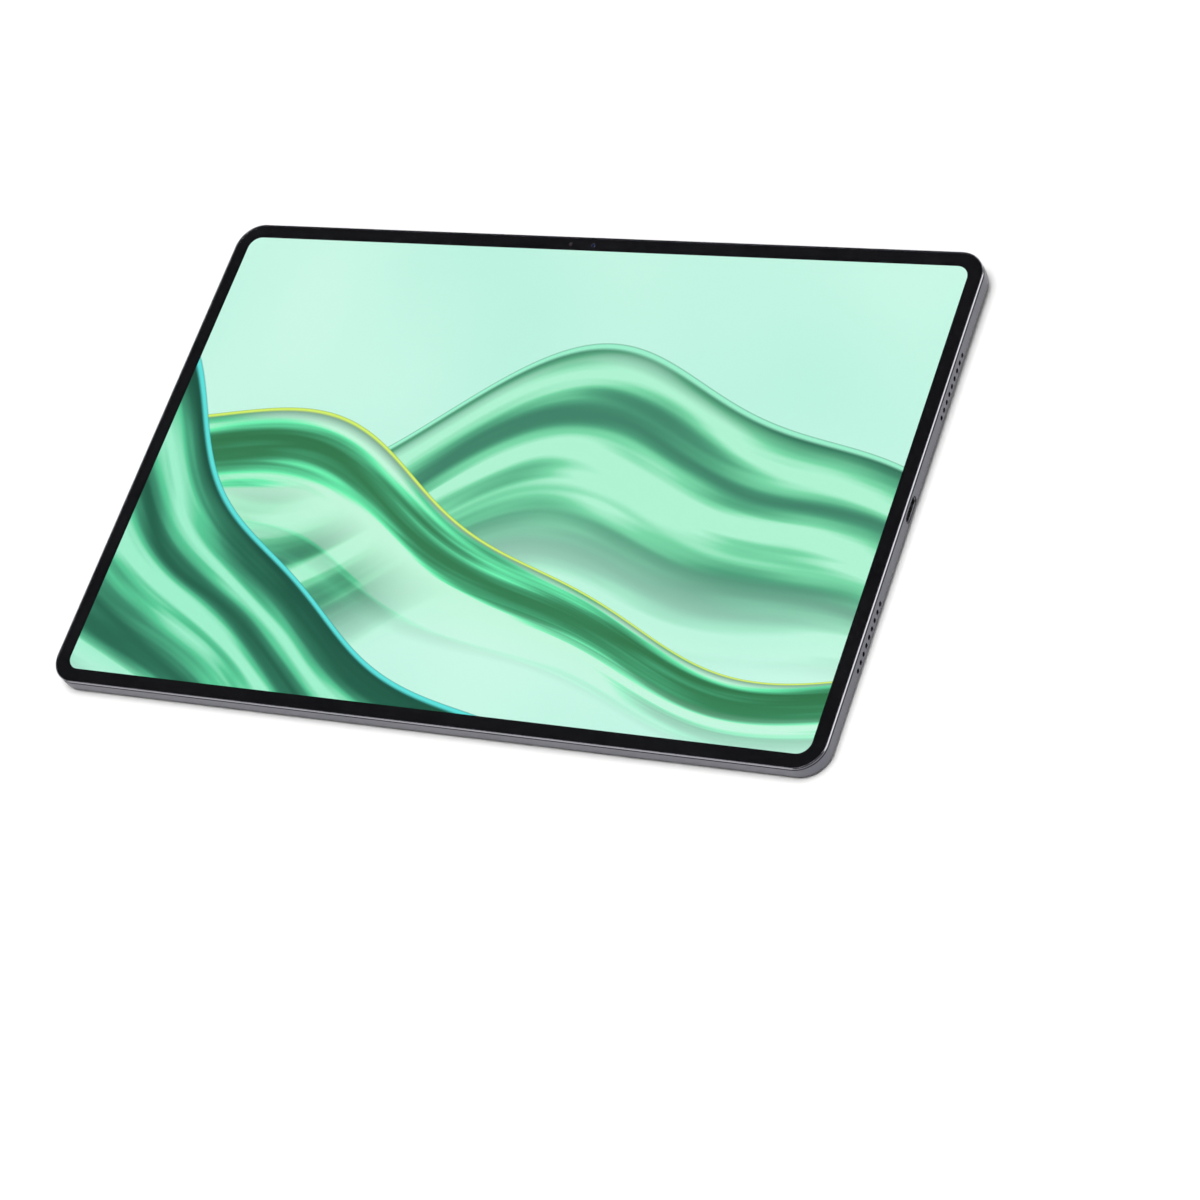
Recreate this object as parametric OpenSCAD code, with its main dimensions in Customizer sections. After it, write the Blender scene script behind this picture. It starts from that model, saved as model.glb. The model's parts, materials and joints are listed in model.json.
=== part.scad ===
// Tablet computer lying on its back, screen up. Millimetres.
// Origin: centre of the flat rear face. +X runs along the long side towards the USB end,
// +Y towards the long edge with the buttons and +Z out of the screen.

/* [Body] */
// Length of the body along X
body_l = 277; // [270:1:290]
// Width of the body along Y
body_w = 179; // [174:1:190]
// Thickness of the body, without the camera island
body_t = 6.3; // [6.3:0.1:8]
// Corner radius of the body seen from the front
body_r = 9.3; // [8:0.1:12]
// Radius of the rounded edge between the side wall and the rear face
rear_edge_r = 1.8; // [0.8:0.1:1.8]
// Thickness of the housing's side wall
wall = 2.0; // [1.8:0.1:2.2]
// Thickness of the housing's rear wall
floor_t = 0.8; // [0.6:0.1:0.9]

/* [Front] */
// Width of the metal rim seen around the glass
rim_w = 0.4; // [0.4:0.05:0.8]
// Chamfer on the rim's outer top edge
rim_chamfer = 0.2; // [0.1:0.05:0.35]
// Height of the dark groove between the rim and the housing
groove_h = 0.6; // [0.2:0.05:0.7]
// Depth of that groove
groove_d = 0.15; // [0.1:0.05:0.2]
// Width of the black border between the rim and the picture
border_w = 4.7; // [4.2:0.1:8]
// Corner radius of the picture
picture_r = 4.4; // [2:0.1:6]
// Thickness of the cover glass
glass_t = 0.55; // [0.4:0.05:0.6]
// Distance of the front camera below the top of the body
front_camera_in = 2.9; // [2.8:0.05:3]
// Distance of the light sensor from the front camera
sensor_gap = 8.4; // [6:0.1:20]

/* [Camera island] */
// Length of the island along X
island_l = 38.8; // [36:0.1:42]
// Width of the island along Y
island_w = 18.7; // [18:0.1:20]
// Height of the island above the rear face
island_h = 1.5; // [1.3:0.1:2]
// Distance of the island from both edges of the body
island_in = 7.75; // [7:0.05:9]
// Distance between the two discs of the island
disc_pitch = 19.6; // [18:0.1:20]
// Outer radius of a disc's ring
ring_r = 7.9; // [7:0.1:8]
// Width of a disc's ring
ring_w = 1.5; // [1:0.1:2]

/* [Edge openings] */
// Width of the USB slot
usb_w = 9.0; // [8.9:0.1:9.4]
// Height of the USB slot
usb_h = 3.2; // [3.1:0.05:3.4]
// Number of holes in a speaker grille
grille_n = 9; // [5:1:11]
// Diameter of a grille hole
grille_d = 1.5; // [0.8:0.1:1.6]
// Distance between neighbouring grille holes
grille_pitch = 2.8; // [2.2:0.1:3]
// Distance of a grille's middle from the middle of its edge
grille_y = 43.3; // [38:0.1:50]

/* [Buttons] */
// Length of the power button
power_l = 12; // [9:0.5:14]
// Length of the volume rocker
volume_l = 22; // [18:0.5:24]
// Width of both buttons across the edge
button_w = 2.1; // [1.8:0.1:2.2]
// Height of both buttons above the side wall
button_proud = 0.35; // [0.2:0.05:0.5]
// Place of the power button along X
power_x = -104; // [-108:1:-100]
// Place of the volume rocker along X
volume_x = -79; // [-82:1:-76]
// Gap around a button in its slot
button_gap = 0.1; // [0.08:0.01:0.15]
// Travel of the power button, and of the rocker's ends
travel = 0.25; // [0.2:0.05:0.3]

/* [Inside] */
// Length of one battery cell along X
cell_l = 100; // [80:1:102]
// Width of one battery cell along Y
cell_w = 118; // [90:1:120]
// Thickness of one battery cell
cell_t = 2.9; // [2:0.1:2.95]
// Length of the main board along X
board_l = 168; // [150:1:172]
// Width of the main board along Y
board_w = 26; // [24:0.5:28]
// Thickness of both circuit boards
board_t = 0.8; // [0.6:0.1:1]

/* [Hidden] */
$fn = 48;
eps = 0.01;
seam = 0.05;

// Heights of the layers, from the front down
glass_top = body_t - seam;
glass_z = glass_top - glass_t;
ink_t = 0.08;
ink_z = glass_z - ink_t;
tape_t = 0.1;
tape_z = ink_z - tape_t;
shelf_t = 0.32;
shelf_z = tape_z - shelf_t;
housing_top = shelf_z - seam;
lcd_t = 0.5;
lcd_z = ink_z - seam / 2 - lcd_t;
film_t = 0.2;
film_z = lcd_z - seam / 2 - film_t;
guide_t = 0.36;
guide_z = film_z - seam / 2 - guide_t;
reflector_t = 0.05;
reflector_z = guide_z - reflector_t - seam / 5;
tray_t = 0.1;
tray_z = reflector_z - tray_t;
graphite_t = 0.06;
graphite_z = tray_z - graphite_t - seam;

// Sizes across the front
glass_l = body_l - 2 * (rim_w + seam);
glass_w = body_w - 2 * (rim_w + seam);
glass_r = body_r - rim_w - seam;
picture_in = rim_w + border_w;
picture_l = body_l - 2 * picture_in;
picture_w = body_w - 2 * picture_in;
lcd_in = 4.1;
lcd_l = body_l - 2 * lcd_in;
lcd_w = body_w - 2 * lcd_in;
lcd_r = body_r - lcd_in;
tray_lip = 0.15;
tray_in = lcd_in - tray_lip - seam;
shelf_in = 3.4;

// Housing and its openings
inner_l = body_l - 2 * wall;
inner_w = body_w - 2 * wall;
inner_r = body_r - wall;
edge_z = 2.7;
front_camera_y = body_w / 2 - front_camera_in;
front_barrel_r = 0.95;
camera_pocket = [5.2, 3.8];
sensor_size = [2.0, 1.4, 0.5];
mic_x = [-36, 62];
mic_r = 0.4;

// Camera island
island_x = -(body_l / 2 - island_in - island_l / 2);
island_y = body_w / 2 - island_in - island_w / 2;
island_wall = 0.7;
island_flange = 1.2;
island_flange_t = 0.4;
fit_gap = 0.05;
lens_x = island_x - disc_pitch / 2;
blank_x = island_x + disc_pitch / 2;
ring_t = 0.15;
island_glass_t = 0.5;
island_glass_z = -island_h + ring_t;
mask_t = 0.3;
mask_z = island_glass_z + island_glass_t + seam;
lens_r = 2.3;
barrel_r = 3.2;
barrel_z = mask_z + mask_t + seam;
barrel_h = 2.1;
module_size = [9, 9];

// Buttons, their switches and the strip that carries them
inner_face = inner_w / 2;
flange_t = 0.5;
flange_over = 0.6;
power_flange_gap = 0.1;
rocker_flange_gap = 0.4;
dome_gap = travel + 0.03;
dome_size = [3, 0.55, 2.6];
key_flex_t = 0.15;
bracket_t = 0.5;
rocker_arm = 7.5;
nub_h = dome_gap - travel * rocker_arm / (volume_l / 2) - 0.02;
key_back = inner_face - rocker_flange_gap - flange_t - dome_gap - dome_size.y;
dome_x = [power_x, volume_x - rocker_arm, volume_x + rocker_arm];
bracket_x0 = power_x - 9;
bracket_x1 = volume_x + 14;

// Battery, boards and what they carry
battery_z = floor_t + 0.15;
battery_x = cell_l / 2 + 4;
battery_y = -7;
board_x = -8;
board_y = 69;
board_z = 2.0;
boss_r = 1.6;
pilot_h = 1;
screw_r = 0.7;
screw_head_r = 1.3;
screw_head_h = 0.45;
screw_hole_r = 0.9;
board_screws_x = [-board_l / 2 + 4, 0, board_l / 2 - 4];
board_screws_y = [-board_w / 2 + 3, board_w / 2 - 3];
usb_depth = 7.3;
usb_shell_gap = 0.1;
usb_shell_t = 0.2;
usb_mouth_x = body_l / 2 - 0.4;
usb_board = [14, 32];
usb_board_x = inner_l / 2 - 0.5 - usb_board.x / 2;
usb_board_z = edge_z - board_t / 2;
usb_screw_y = 13;
boss_h = usb_board_z - floor_t + 0.1;
speaker_size = [13, 27, 3.0];
speaker_x = inner_l / 2 - 0.4 - speaker_size.x / 2;
speaker_z = floor_t + 0.1;
mesh_t = 0.12;
antenna_size = [62, 1.3, 2.6];
antenna_x = 74;
cable_r = 0.4;
cable_x = 109.5;
magnet_size = [14, 2.4, 1.6];
magnet_x = [-40, 0, 40];
led_n = 48;
led_size = [3.0, 0.9, 0.3];
flex_t = 0.12;

// Outline with round corners, drawn about the origin
module round_outline(l, w, r) {
    square([l - 2 * r, w], center = true);
    square([l, w - 2 * r], center = true);
    for (x = [-1, 1], y = [-1, 1])
        translate([x * (l / 2 - r), y * (w / 2 - r)]) circle(r);
}

// Flat plate with round corners, standing on z
module plate(l, w, r, z, t) {
    translate([0, 0, z]) linear_extrude(t) round_outline(l, w, r);
}

// Outline with half-round ends
module pill_outline(l, w) {
    square([l - w, w], center = true);
    for (x = [-1, 1]) translate([x * (l - w) / 2, 0]) circle(w / 2);
}

// Plate with half-round ends, standing on z
module pill(l, w, z, t) {
    translate([0, 0, z]) linear_extrude(t) pill_outline(l, w);
}

// Sweeps a profile once around a rounded rectangle. The profile's x is the distance from the
// centre of the corner, so that x = r lies on the outline
module sweep_around(l, w, r) {
    for (c = [[1, 1, 0], [-1, 1, 90], [-1, -1, 180], [1, -1, 270]])
        translate([c.x * (l / 2 - r), c.y * (w / 2 - r), 0])
            rotate(c.z) rotate_extrude(angle = 90) children();
    if (w > 2 * r) for (side = [0, 180])
        rotate(side) translate([l / 2 - r, 0, 0])
            rotate([90, 0, 0]) linear_extrude(w - 2 * r, center = true) children();
    for (side = [90, 270])
        rotate(side) translate([w / 2 - r, 0, 0])
            rotate([90, 0, 0]) linear_extrude(l - 2 * r, center = true) children();
}

// Takes the square corner off a profile whose outer side is at x and whose foot is at z
module round_off(x, z, r) {
    translate([x - r, z]) difference() {
        square(r);
        translate([0, r]) circle(r);
    }
}

// Box that stands on z and is centred on x and y
module block(size, x, y, z) {
    translate([x, y, z + size.z / 2]) cube(size, center = true);
}

// Upright cylinder that stands on z
module post(r, h, x, y, z) {
    translate([x, y, z]) cylinder(r = r, h = h);
}

// Slot through an edge whose outward direction is +Y, with half-round ends
module edge_slot(l, h, x, y, depth) {
    translate([x, y, edge_z]) rotate([90, 0, 0]) linear_extrude(depth, center = true)
        pill_outline(l, h);
}

// Places children at every screw of the two circuit boards
module at_screws() {
    for (x = board_screws_x, y = board_screws_y)
        translate([board_x + x, board_y + y, board_z]) children();
    for (y = [-usb_screw_y, usb_screw_y])
        translate([usb_board_x - usb_board.x / 2 + 3, y, usb_board_z]) children();
}

// ---- Front ----

module cover_glass() {
    color("#10110f", 0.5) plate(glass_l, glass_w, glass_r, glass_z, glass_t);
}

module glass_border() {
    color("#0c0c0e") difference() {
        plate(glass_l - 0.1, glass_w - 0.1, glass_r - 0.05, ink_z, ink_t - eps);
        plate(picture_l, picture_w, picture_r, ink_z - 1, 2);
        post(front_barrel_r * 0.8, 2, 0, front_camera_y, ink_z - 1);
        post(front_barrel_r * 0.8, 2, -sensor_gap, front_camera_y, ink_z - 1);
    }
}

// Double-sided tape that bonds the glass to the frame's shelf
module frame_tape() {
    tape_l = body_l - 2 * (rim_w + 0.3);
    tape_w = body_w - 2 * (rim_w + 0.3);
    color("#2b2b2e") difference() {
        plate(tape_l, tape_w, body_r - rim_w - 0.3, tape_z + eps, tape_t - 2 * eps);
        plate(tape_l - 3.4, tape_w - 3.4, body_r - rim_w - 2, tape_z - 1, 2);
    }
}

module frame_profile() {
    polygon([
        [body_r - shelf_in, shelf_z], [body_r - groove_d, shelf_z],
        [body_r - groove_d, shelf_z + groove_h - seam], [body_r, shelf_z + groove_h - seam],
        [body_r, body_t - rim_chamfer], [body_r - rim_chamfer, body_t],
        [body_r - rim_w, body_t], [body_r - rim_w, shelf_z + shelf_t],
        [body_r - shelf_in, shelf_z + shelf_t]
    ]);
}

// Rim around the glass, with the shelf that the glass is bonded to
module display_frame() {
    color("#9a99a3") difference() {
        sweep_around(body_l, body_w, body_r) frame_profile();
        post(front_barrel_r + 0.3, 2, 0, front_camera_y, shelf_z - 1);
        block([sensor_size.x + 0.4, sensor_size.y + 0.4, 2], -sensor_gap, front_camera_y,
            shelf_z - 1);
    }
}

// ---- Display module ----

module display_cell() {
    color("#9fe6c8") plate(lcd_l, lcd_w, lcd_r, lcd_z, lcd_t);
}

module optical_films() {
    color("#eef3f2") plate(lcd_l, lcd_w, lcd_r, film_z, film_t);
}

module light_guide() {
    led_strip = led_size.y + 1.4;
    color("#f4fbff", 0.8) intersection() {
        plate(lcd_l - 0.6, lcd_w - 0.6, lcd_r - 0.3, guide_z, guide_t);
        block([body_l, lcd_w, 4], 0, led_strip, guide_z - 1);
    }
}

module reflector_sheet() {
    color("#f7f7f4") plate(lcd_l - 0.6, lcd_w - 0.6, lcd_r - 0.3, reflector_z, reflector_t);
}

// Shallow steel tray that holds the light guide, the films and the display cell
module backlight_tray() {
    tray_l = body_l - 2 * tray_in;
    tray_w = body_w - 2 * tray_in;
    tray_r = body_r - tray_in;
    color("#c9cbd0") difference() {
        plate(tray_l, tray_w, tray_r, tray_z, lcd_z + lcd_t - tray_z);
        plate(tray_l - 2 * tray_lip, tray_w - 2 * tray_lip, tray_r - tray_lip,
            tray_z + tray_t - eps, body_t);
    }
}

// Strip of light-emitting diodes along the lower edge of the light guide
module led_bar() {
    led_y = -lcd_w / 2 + 0.5;
    led_span = lcd_l - 24;
    color("#e8e2b8") {
        block([lcd_l - 14, led_size.y + 0.4, 0.06], 0, led_y + led_size.y / 2,
            guide_z - seam / 5);
        for (i = [0:led_n - 1])
            block(led_size, (i / (led_n - 1) - 0.5) * led_span, led_y + led_size.y / 2,
                guide_z + seam - eps);
    }
}

// Narrow board behind the lower edge of the display, with its row of driver chips
module display_driver_board() {
    driver_y = -78;
    color("#1f4f3c") {
        block([150, 7, 0.5], 0, driver_y, graphite_z - 0.6);
        for (x = [-52, 0, 52]) block([14, 3, 0.5], x, driver_y, graphite_z - 1.1 + eps);
    }
}

module graphite_sheet() {
    color("#34363a") plate(236, 146, 3, graphite_z, graphite_t);
}

// ---- Housing ----

// Side wall section with the rounded rear edge, from the corner's centre outwards
module wall_profile() {
    difference() {
        square([body_r, housing_top]);
        round_off(body_r, 0, rear_edge_r);
    }
}

module grille_holes(side, y) {
    for (i = [0:grille_n - 1])
        translate([side * body_l / 2, y + (i - (grille_n - 1) / 2) * grille_pitch, edge_z])
            rotate([0, 90, 0]) cylinder(d = grille_d, h = 3 * wall, center = true);
}

module housing_shell() {
    difference() {
        union() {
            sweep_around(body_l, body_w, body_r) wall_profile();
            block([body_l - 2 * body_r, body_w - 2 * body_r, housing_top], 0, 0, 0);
        }
        plate(inner_l, inner_w, inner_r, floor_t, body_t);
    }
}

module rear_housing() {
    color("#76767f") difference() {
        union() {
            housing_shell();
            at_screws() translate([0, 0, -boss_h]) cylinder(r = boss_r, h = boss_h);
        }
        at_screws() translate([0, 0, -pilot_h]) cylinder(r = screw_r, h = 2 * pilot_h);
        translate([island_x, island_y, 0])
            pill(island_l + 2 * fit_gap, island_w + 2 * fit_gap, -1, 3);
        translate([body_l / 2, 0, 0]) rotate(-90)
            edge_slot(usb_w, usb_h, 0, 0, 3 * wall);
        edge_slot(power_l + 2 * button_gap, button_w + 2 * button_gap, power_x,
            body_w / 2, 3 * wall);
        edge_slot(volume_l + 2 * button_gap, button_w + 2 * button_gap, volume_x,
            body_w / 2, 3 * wall);
        for (side = [-1, 1], y = [-grille_y, grille_y]) grille_holes(side, y);
        for (x = mic_x)
            translate([x, body_w / 2, edge_z]) rotate([90, 0, 0])
                cylinder(r = mic_r, h = 3 * wall, center = true);
        block([camera_pocket.x, camera_pocket.y, body_t], 0, front_camera_y, floor_t + 0.2);
    }
}

// ---- Camera island ----

// Bezel section: a standing wall with a rounded lip and a flange inside the housing
module bezel_profile() {
    inner = island_w / 2 - island_wall;
    wall_h = island_h + floor_t + island_flange_t;
    difference() {
        union() {
            translate([inner, -island_h]) square([island_wall, wall_h]);
            translate([inner, floor_t + eps])
                square([island_wall + island_flange, island_flange_t - eps]);
        }
        round_off(island_w / 2, -island_h, 0.5);
    }
}

module camera_bezel() {
    color("#2a2a2f") translate([island_x, island_y, 0])
        sweep_around(island_l, island_w, island_w / 2) bezel_profile();
}

module camera_cover_glass() {
    clear = 2 * (island_wall + fit_gap);
    color("#0a0a0b") translate([island_x, island_y, 0])
        pill(island_l - clear, island_w - clear, island_glass_z, island_glass_t);
}

// Black plate behind the island's glass, open over the lens
module camera_mask() {
    clear = 2 * (island_wall + fit_gap);
    color("#050506") difference() {
        translate([island_x, island_y, 0])
            pill(island_l - clear, island_w - clear, mask_z, mask_t);
        post(lens_r + 0.25, 3, lens_x, island_y, mask_z - 1);
    }
}

module disc_ring(x) {
    translate([x, island_y, -island_h]) rotate_extrude() translate([ring_r - ring_w, 0])
        polygon([[0, ring_t - eps], [0.25, 0], [ring_w - 0.25, 0], [ring_w, ring_t - eps]]);
}

module main_camera_ring() {
    color("#3a3a3e") disc_ring(lens_x);
}

module second_camera_ring() {
    color("#3a3a3e") disc_ring(blank_x);
}

// Front element of the rear camera: a flat disc with a domed middle
module rear_camera_lens() {
    dome_r = 4.2;
    color("#22304a", 0.6) translate([lens_x, island_y, mask_z]) union() {
        translate([0, 0, 0.2]) cylinder(r = lens_r, h = mask_t - 0.1);
        intersection() {
            translate([0, 0, dome_r]) sphere(dome_r);
            translate([0, 0, 0.02]) cylinder(r = 1.6, h = 0.25);
        }
    }
}

module rear_camera_barrel() {
    color("#1a1a1d") difference() {
        post(barrel_r, barrel_h, lens_x, island_y, barrel_z + 0.2);
        post(lens_r - 0.7, barrel_h, lens_x, island_y, barrel_z - 0.5);
    }
}

module rear_camera_module() {
    block_z = barrel_z + 0.2 + barrel_h;
    color("#3c3f45") block([module_size.x, module_size.y, graphite_z - block_z - 0.1],
        lens_x, island_y, block_z);
}

// ---- Front camera and sensor ----

module front_camera_lens() {
    color("#1d2a3c") post(front_barrel_r * 0.75, 0.15, 0, front_camera_y, ink_z - 0.25);
}

module front_camera_module() {
    top = ink_z - 0.26;
    body_top = tray_z - 0.15;
    color("#26262a") {
        post(front_barrel_r, top - body_top + eps, 0, front_camera_y, body_top - eps);
        block([4.6, 3.0, body_top - floor_t - 0.4], 0, front_camera_y, floor_t + 0.4);
    }
}

module light_sensor() {
    color("#3b4a3f") block(sensor_size, -sensor_gap, front_camera_y,
        tape_z - seam - sensor_size.z);
}

// ---- Battery ----

module battery_cell(side) {
    edge_r = 1.2;
    translate([side * battery_x, battery_y, 0])
        plate(cell_l, cell_w, edge_r, battery_z, cell_t);
}

module battery_cell_left() {
    color("#1c1d20") battery_cell(-1);
}

module battery_cell_right() {
    color("#1c1d20") battery_cell(1);
}

// Protection board along the upper ends of the two cells
module battery_board() {
    color("#1e3a6b") block([40, 3.4, board_t], 0, battery_y + cell_w / 2 + 2, board_z);
}

// Pull-tab tape under the cells
module battery_tape() {
    color("#e9e6dc") for (x = [-1, 1], k = [-1, 0, 1])
        block([12, cell_w - 14, 0.13], x * battery_x + k * 32, battery_y, floor_t + eps);
}

// ---- Boards ----

module main_board() {
    color("#14513a") difference() {
        block([board_l, board_w, board_t], board_x, board_y, board_z);
        at_screws() translate([0, 0, -1]) cylinder(r = screw_hole_r, h = 3);
    }
}

module chip(size, x, y) {
    block(size, board_x + x, board_y + y, board_z + board_t);
}

module processor() {
    color("#2e3033") chip([14, 14, 0.7], -30, 0);
}

module memory_chip() {
    color("#26282b") chip([12, 10, 0.6], -48, 0);
}

module storage_chip() {
    color("#26282b") chip([13, 11.5, 0.6], -10, -2);
}

module power_chip() {
    color("#2a2c30") chip([7, 7, 0.6], 26, 0);
}

module radio_chip() {
    color("#2a2c30") chip([9, 8, 0.6], 50, 2);
}

// Stamped lid over the processor and its memory
module shield_can() {
    can = [42, 20, 1.15];
    skin = 0.15;
    color("#b9bcc2") difference() {
        chip(can, -38, 0);
        translate([0, 0, -skin]) chip([can.x - 2 * skin, can.y - 2 * skin, can.z], -38, 0);
    }
}

module usb_circuit_board() {
    color("#14513a") difference() {
        block([usb_board.x, usb_board.y, board_t], usb_board_x, 0, usb_board_z);
        block([usb_board.x, usb_w + 0.4, 3], usb_board_x + 5, 0, usb_board_z - 1);
        at_screws() translate([0, 0, -1]) cylinder(r = screw_hole_r, h = 3);
    }
}

// Steel shell of the USB receptacle, open towards +X
module usb_shell() {
    shell_w = usb_w - 2 * usb_shell_gap;
    shell_h = usb_h - 2 * usb_shell_gap;
    color("#8d9096") translate([usb_mouth_x - usb_depth / 2, 0, 0]) rotate(-90)
        difference() {
            edge_slot(shell_w, shell_h, 0, 0, usb_depth);
            edge_slot(shell_w - 2 * usb_shell_t, shell_h - 2 * usb_shell_t, 0, 0.5, usb_depth);
        }
}

module usb_tongue() {
    color("#17181a") block([5.2, 6.6, 0.7], usb_mouth_x - usb_depth + 0.5 + 2.6, 0,
        edge_z - 0.35);
}

// ---- Speakers ----

// Speaker box with its port facing the grille
module speaker(side, y) {
    color("#202124") translate([side * speaker_x, y, 0]) difference() {
        block(speaker_size, 0, 0, speaker_z);
        block([2.4, grille_n * grille_pitch - 1, 1.8], side * speaker_size.x / 2, 0,
            edge_z - 0.9);
    }
}

module speaker_left_upper() {
    speaker(-1, grille_y);
}

module speaker_left_lower() {
    speaker(-1, -grille_y);
}

module speaker_right_upper() {
    speaker(1, grille_y);
}

module speaker_right_lower() {
    speaker(1, -grille_y);
}

// Dust meshes between the grilles and the speakers
module speaker_meshes() {
    color("#101012") for (side = [-1, 1], y = [-grille_y, grille_y])
        block([mesh_t, grille_n * grille_pitch, 2.2], side * (inner_l / 2 - mesh_t), y,
            edge_z - 1.1);
}

// ---- Buttons ----

// Button cap with the inner flange that keeps it in its slot
module edge_button(l, x, gap) {
    outer = body_w / 2 + button_proud;
    flange_y = inner_face - gap;
    edge_slot(l, button_w, x, (outer + flange_y - flange_t) / 2,
        outer - flange_y + flange_t);
    edge_slot(l + 2 * flange_over, button_w + 2 * flange_over, x, flange_y - flange_t / 2,
        flange_t);
}

module power_button() {
    plunger = key_back + dome_size.y + dome_gap;
    flange_back = inner_face - power_flange_gap - flange_t;
    color("#6d6d76") {
        edge_button(power_l, power_x, power_flange_gap);
        translate([power_x, (plunger + flange_back) / 2, edge_z])
            cube([2, flange_back - plunger + eps, 1.6], center = true);
    }
}

// Rocker with a nub over each of its two switches
module volume_rocker() {
    flange_back = inner_face - rocker_flange_gap - flange_t;
    color("#6d6d76") {
        edge_button(volume_l, volume_x, rocker_flange_gap);
        for (x = [-rocker_arm, rocker_arm])
            translate([volume_x + x, flange_back - nub_h / 2 + eps, edge_z])
                cube([1, nub_h + 2 * eps, 1.6], center = true);
    }
}

module dome_switches() {
    color("#b7b9bd") for (x = dome_x)
        translate([x, key_back + dome_size.y / 2, edge_z]) cube(dome_size, center = true);
}

module side_key_flex() {
    color("#c9822b") translate([bracket_x0, key_back - key_flex_t, edge_z - 1.5])
        cube([bracket_x1 - bracket_x0, key_flex_t - eps, 3]);
}

// Steel strip behind the switches, with a foot that stands on the housing
module side_key_bracket() {
    top = tray_z - 0.1;
    back = key_back - key_flex_t - bracket_t;
    length = bracket_x1 - bracket_x0;
    color("#a4a7ad") {
        translate([bracket_x0, back, floor_t + eps])
            cube([length, bracket_t - eps, top - floor_t - eps]);
        translate([bracket_x0, back - 1.6, floor_t + eps])
            cube([length, 1.6 + eps, bracket_t]);
    }
}

// ---- Small parts ----

module microphones() {
    color("#c7b98a") for (x = mic_x)
        block([3.4, 2.2, 1.1], x, inner_face - 1.2, edge_z - 0.55);
}

module antennas() {
    color("#d8d3c4") for (x = [-antenna_x, antenna_x])
        block(antenna_size, x, -inner_face + 0.9, floor_t + 0.1);
}

module antenna_cables() {
    run = 122;
    color("#111113") for (side = [-1, 1])
        translate([side * cable_x, -84, floor_t + cable_r + 0.05]) rotate([-90, 0, 0])
            cylinder(r = cable_r, h = run);
}

module cover_magnets() {
    color("#8f9196") for (x = magnet_x)
        block(magnet_size, x, -inner_face + 5, floor_t + eps);
}

module display_flex() {
    flex = [22, 132];
    flex_x = 36;
    foot_y = board_y - board_w / 2 + 3;
    run_z = battery_z + cell_t + 0.1;
    landing_z = board_z + board_t + eps;
    color("#c9822b") {
        block([flex.x, flex.y, flex_t], flex_x, foot_y - flex.y / 2, run_z);
        block([flex.x, flex_t, run_z + flex_t - landing_z], flex_x, foot_y, landing_z);
        block([flex.x, 4, flex_t], flex_x, foot_y + 2, landing_z);
    }
}

module battery_flex() {
    color("#c9822b") block([12, 7, flex_t], 0, battery_y + cell_w / 2 + 5,
        board_z + board_t + eps);
}

// Flex from the USB board up the side of the battery and across to the main board
module usb_flex() {
    z = usb_board_z + board_t + eps;
    low_y = usb_board.y / 2 - 6;
    high_y = board_y + 1;
    run_x = usb_board_x - usb_board.x / 2 - 6;
    plug_x = board_x + board_l / 2 - 14;
    color("#c9822b") {
        block([12, 6, flex_t], run_x + 1, low_y + 3, z);
        block([10, high_y - low_y, flex_t], run_x, (high_y + low_y) / 2, z);
        block([run_x + 5 - plug_x, 8, flex_t], (run_x + 5 + plug_x) / 2, high_y - 4, z);
        block([6, 6, z - board_z - board_t - eps / 2], plug_x + 4, high_y - 4,
            board_z + board_t + eps);
    }
}

module board_screws() {
    color("#d0d2d6") at_screws() {
        translate([0, 0, board_t + eps]) difference() {
            cylinder(r = screw_head_r, h = screw_head_h);
            for (a = [0, 90]) rotate(a)
                translate([0, 0, screw_head_h]) cube([1.4, 0.3, 0.4], center = true);
        }
        translate([0, 0, -0.9]) cylinder(r = screw_r - 0.02, h = 0.9 + board_t + 2 * eps);
    }
}

cover_glass();
glass_border();
frame_tape();
display_frame();
display_cell();
optical_films();
light_guide();
reflector_sheet();
backlight_tray();
led_bar();
display_driver_board();
graphite_sheet();
rear_housing();
camera_bezel();
camera_cover_glass();
camera_mask();
main_camera_ring();
second_camera_ring();
rear_camera_lens();
rear_camera_barrel();
rear_camera_module();
front_camera_lens();
front_camera_module();
light_sensor();
battery_cell_left();
battery_cell_right();
battery_board();
battery_tape();
main_board();
processor();
memory_chip();
storage_chip();
power_chip();
radio_chip();
shield_can();
usb_circuit_board();
usb_shell();
usb_tongue();
speaker_left_upper();
speaker_left_lower();
speaker_right_upper();
speaker_right_lower();
speaker_meshes();
power_button();
volume_rocker();
dome_switches();
side_key_flex();
side_key_bracket();
microphones();
antennas();
antenna_cables();
cover_magnets();
display_flex();
battery_flex();
usb_flex();
board_screws();
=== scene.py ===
"""Tablet computer lying on its back with its screen lit: surfaces, finishes and studio.

Sizes are millimetres in the classes and metres in the meshes, in the part's own frame. The origin
is the centre of the flat rear face, +X runs to the USB end, +Y to the long edge with the buttons
and +Z out of the screen.
"""
import sys

import json
import logging
import math
from dataclasses import dataclass
from enum import Enum
from typing import Any, Mapping, Optional, Sequence, Union

import bpy
import numpy as np
from mathutils import Matrix, Vector


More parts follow.
